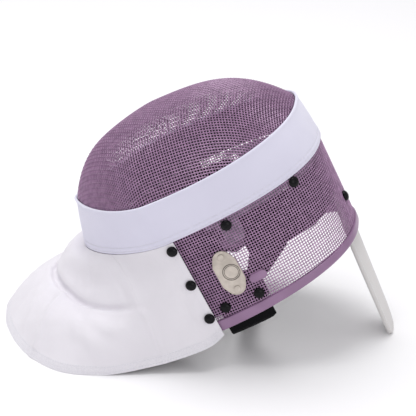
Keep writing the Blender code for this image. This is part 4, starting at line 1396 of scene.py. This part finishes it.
def padding():
    depths, reaches_u = np.array(CHEEK_PAD_EDGE).T
    fine = np.linspace(depths[0], depths[-1], CHEEK_PAD_ROWS)
    fine = np.sort(np.r_[fine, depths[2] + CHEEK_PAD_CORNER, depths[3] - CHEEK_PAD_CORNER])
    rear = np.array([angle_at(CROWN_REACH * u) for u in np.interp(fine, depths, reaches_u)])
    shares = np.linspace(0, 1, CHEEK_PAD_COLUMNS)
    f = np.repeat(height_at(fine)[None], len(shares), axis=0)
    for side, sign in (("left", 1), ("right", -1)):
        angles = sign * (rear + (CHEEK_PAD_FRONT_ANGLE - rear) * shares[:, None])
        piece, _ = pillow(f"cheek_pad_{side}", angles[::sign], f, PAD_WALL, "black_cloth")
    crown = strip(CROWN_PAD_EDGE, (120,), 18, CROWN_PAD_TOP)
    piece, _ = pillow("crown_pad", *crown, PAD_WALL, "black_cloth")
    piece, outer = pillow("liner_band", *strip(LINER_EDGE, LINER_COLUMNS, 8, 0.0), LINER_WALL,
                          "grey_cloth", 0.8)
    declare_sheet(piece, outer)


def back_strap():
    inner = -SEAT_GAP - MESH_WALL - PAD_CLEAR - PAD_WALL - 2 * SEAT_GAP
    low = -BAND_BELOW - SIDE_DEPTH - RIM_HEIGHT
    lines = []
    for share in np.linspace(0, 1, STRAP_COLUMNS):
        angle = angle_at(STRAP_FIRST_U + STRAP_WIDTH * share)
        start = wall(angle, low + STRAP_HIDDEN, inner)
        turn = wall(angle, low - STRAP_DROP, inner)
        turn[0] = start[0]
        path = [start, start + (turn - start) * 0.5, turn]
        inset = (STRAP_WIDTH - STRAP_MIDDLE_WIDTH) * share
        for way in np.arange(1, STRAP_STEPS + 1) / STRAP_STEPS:
            fall = STRAP_SAG * (1 - (1 - way) ** STRAP_SAG_POWER)
            narrow = inset * min(way / STRAP_TAPER, 1.0)
            path.append(np.array([start[0] - narrow - fall * math.sin(LEAN), turn[1] * (1 - way),
                                  turn[2] - fall * math.cos(LEAN)]))
        path += [p * MIRROR for p in path[-2::-1]]
        lines.append(to_world(path))
    grid = np.array(lines)
    out = -grid_normals(grid)
    ribs = STRAP_RIB * np.cos(np.linspace(0, 1, STRAP_COLUMNS) * 2 * np.pi * STRAP_RIBS)[:, None, None]
    outer = grid + out * (ribs - STRAP_RIB_SINK)
    piece = shell("back_strap_elastic", outer, grid - out * STRAP_WALL, "elastic",
                  bead=0.0003, stands_for="back_strap", sharp=60.0)
    declare_sheet(piece, grid)


# Floor, light and camera

def floor():
    mat, tree, shader, place = new_material("studio_floor", 0.9)
    mottled(tree, shader, (0.93, 0.925, 0.935), (0.915, 0.91, 0.92), 0.6, place["Object"])
    mesh = bpy.data.meshes.new("studio_floor")
    corners = [(x * FLOOR_REACH, y * FLOOR_REACH, 0.0) for x, y in ((-1, -1), (1, -1), (1, 1), (-1, 1))]
    mesh.from_pydata(corners, [], [(0, 1, 2, 3)])
    mesh.materials.append(mat)
    obj = new_object("studio_floor", mesh)
    obj.location.z = -FLOOR_DROP


def area_light(name, place, target_height, size, power):
    """Round soft light that points at the middle of the object."""
    data = bpy.data.lights.new(name, "AREA")
    data.shape = "DISK"
    data.size = size
    data.energy = power
    obj = new_object(name, data)
    obj.location = place
    way = Vector((0.0, 0.0, target_height)) - Vector(place)
    obj.rotation_euler = way.to_track_quat("-Z", "Y").to_euler()


def lights():
    world = bpy.data.worlds.new("studio")
    world.use_nodes = True
    background = world.node_tree.nodes["Background"]
    background.inputs["Color"].default_value = WORLD_COLOUR
    background.inputs["Strength"].default_value = WORLD_STRENGTH
    scene = bpy.context.scene
    scene.world = world
    scene.view_settings.view_transform = "Standard"
    area_light("overhead", (-0.40, 0.33, 2.1), 0.1, 1.7, 28.5)
    area_light("front", (1.3, -1.9, 1.1), 0.12, 1.8, 9.6)


def camera():
    flat = math.cos(VIEW_RISE)
    away = Vector((math.sin(VIEW_YAW) * flat, -math.cos(VIEW_YAW) * flat, math.sin(VIEW_RISE)))
    data = bpy.data.cameras.new("camera")
    data.sensor_width = SENSOR
    data.lens = VIEW_LENS
    obj = new_object("camera", data)
    obj.location = Vector(VIEW_TARGET) + away * VIEW_DISTANCE
    obj.rotation_euler = (-away).to_track_quat("-Z", "Y").to_euler()
    bpy.context.scene.camera = obj


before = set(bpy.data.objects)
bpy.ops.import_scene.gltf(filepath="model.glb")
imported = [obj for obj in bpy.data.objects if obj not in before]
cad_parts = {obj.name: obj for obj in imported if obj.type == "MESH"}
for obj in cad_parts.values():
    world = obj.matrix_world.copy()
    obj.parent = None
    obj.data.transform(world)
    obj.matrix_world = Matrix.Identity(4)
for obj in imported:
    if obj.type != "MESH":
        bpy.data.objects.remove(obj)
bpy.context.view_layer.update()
camera()
floor()
lights()
FINISHES = make_materials()
face_mesh()
side_mesh()
trim_band()
rim_binding()
bib()
tongue()
studs()
badge()
strap_tabs()
padding()
back_strap()
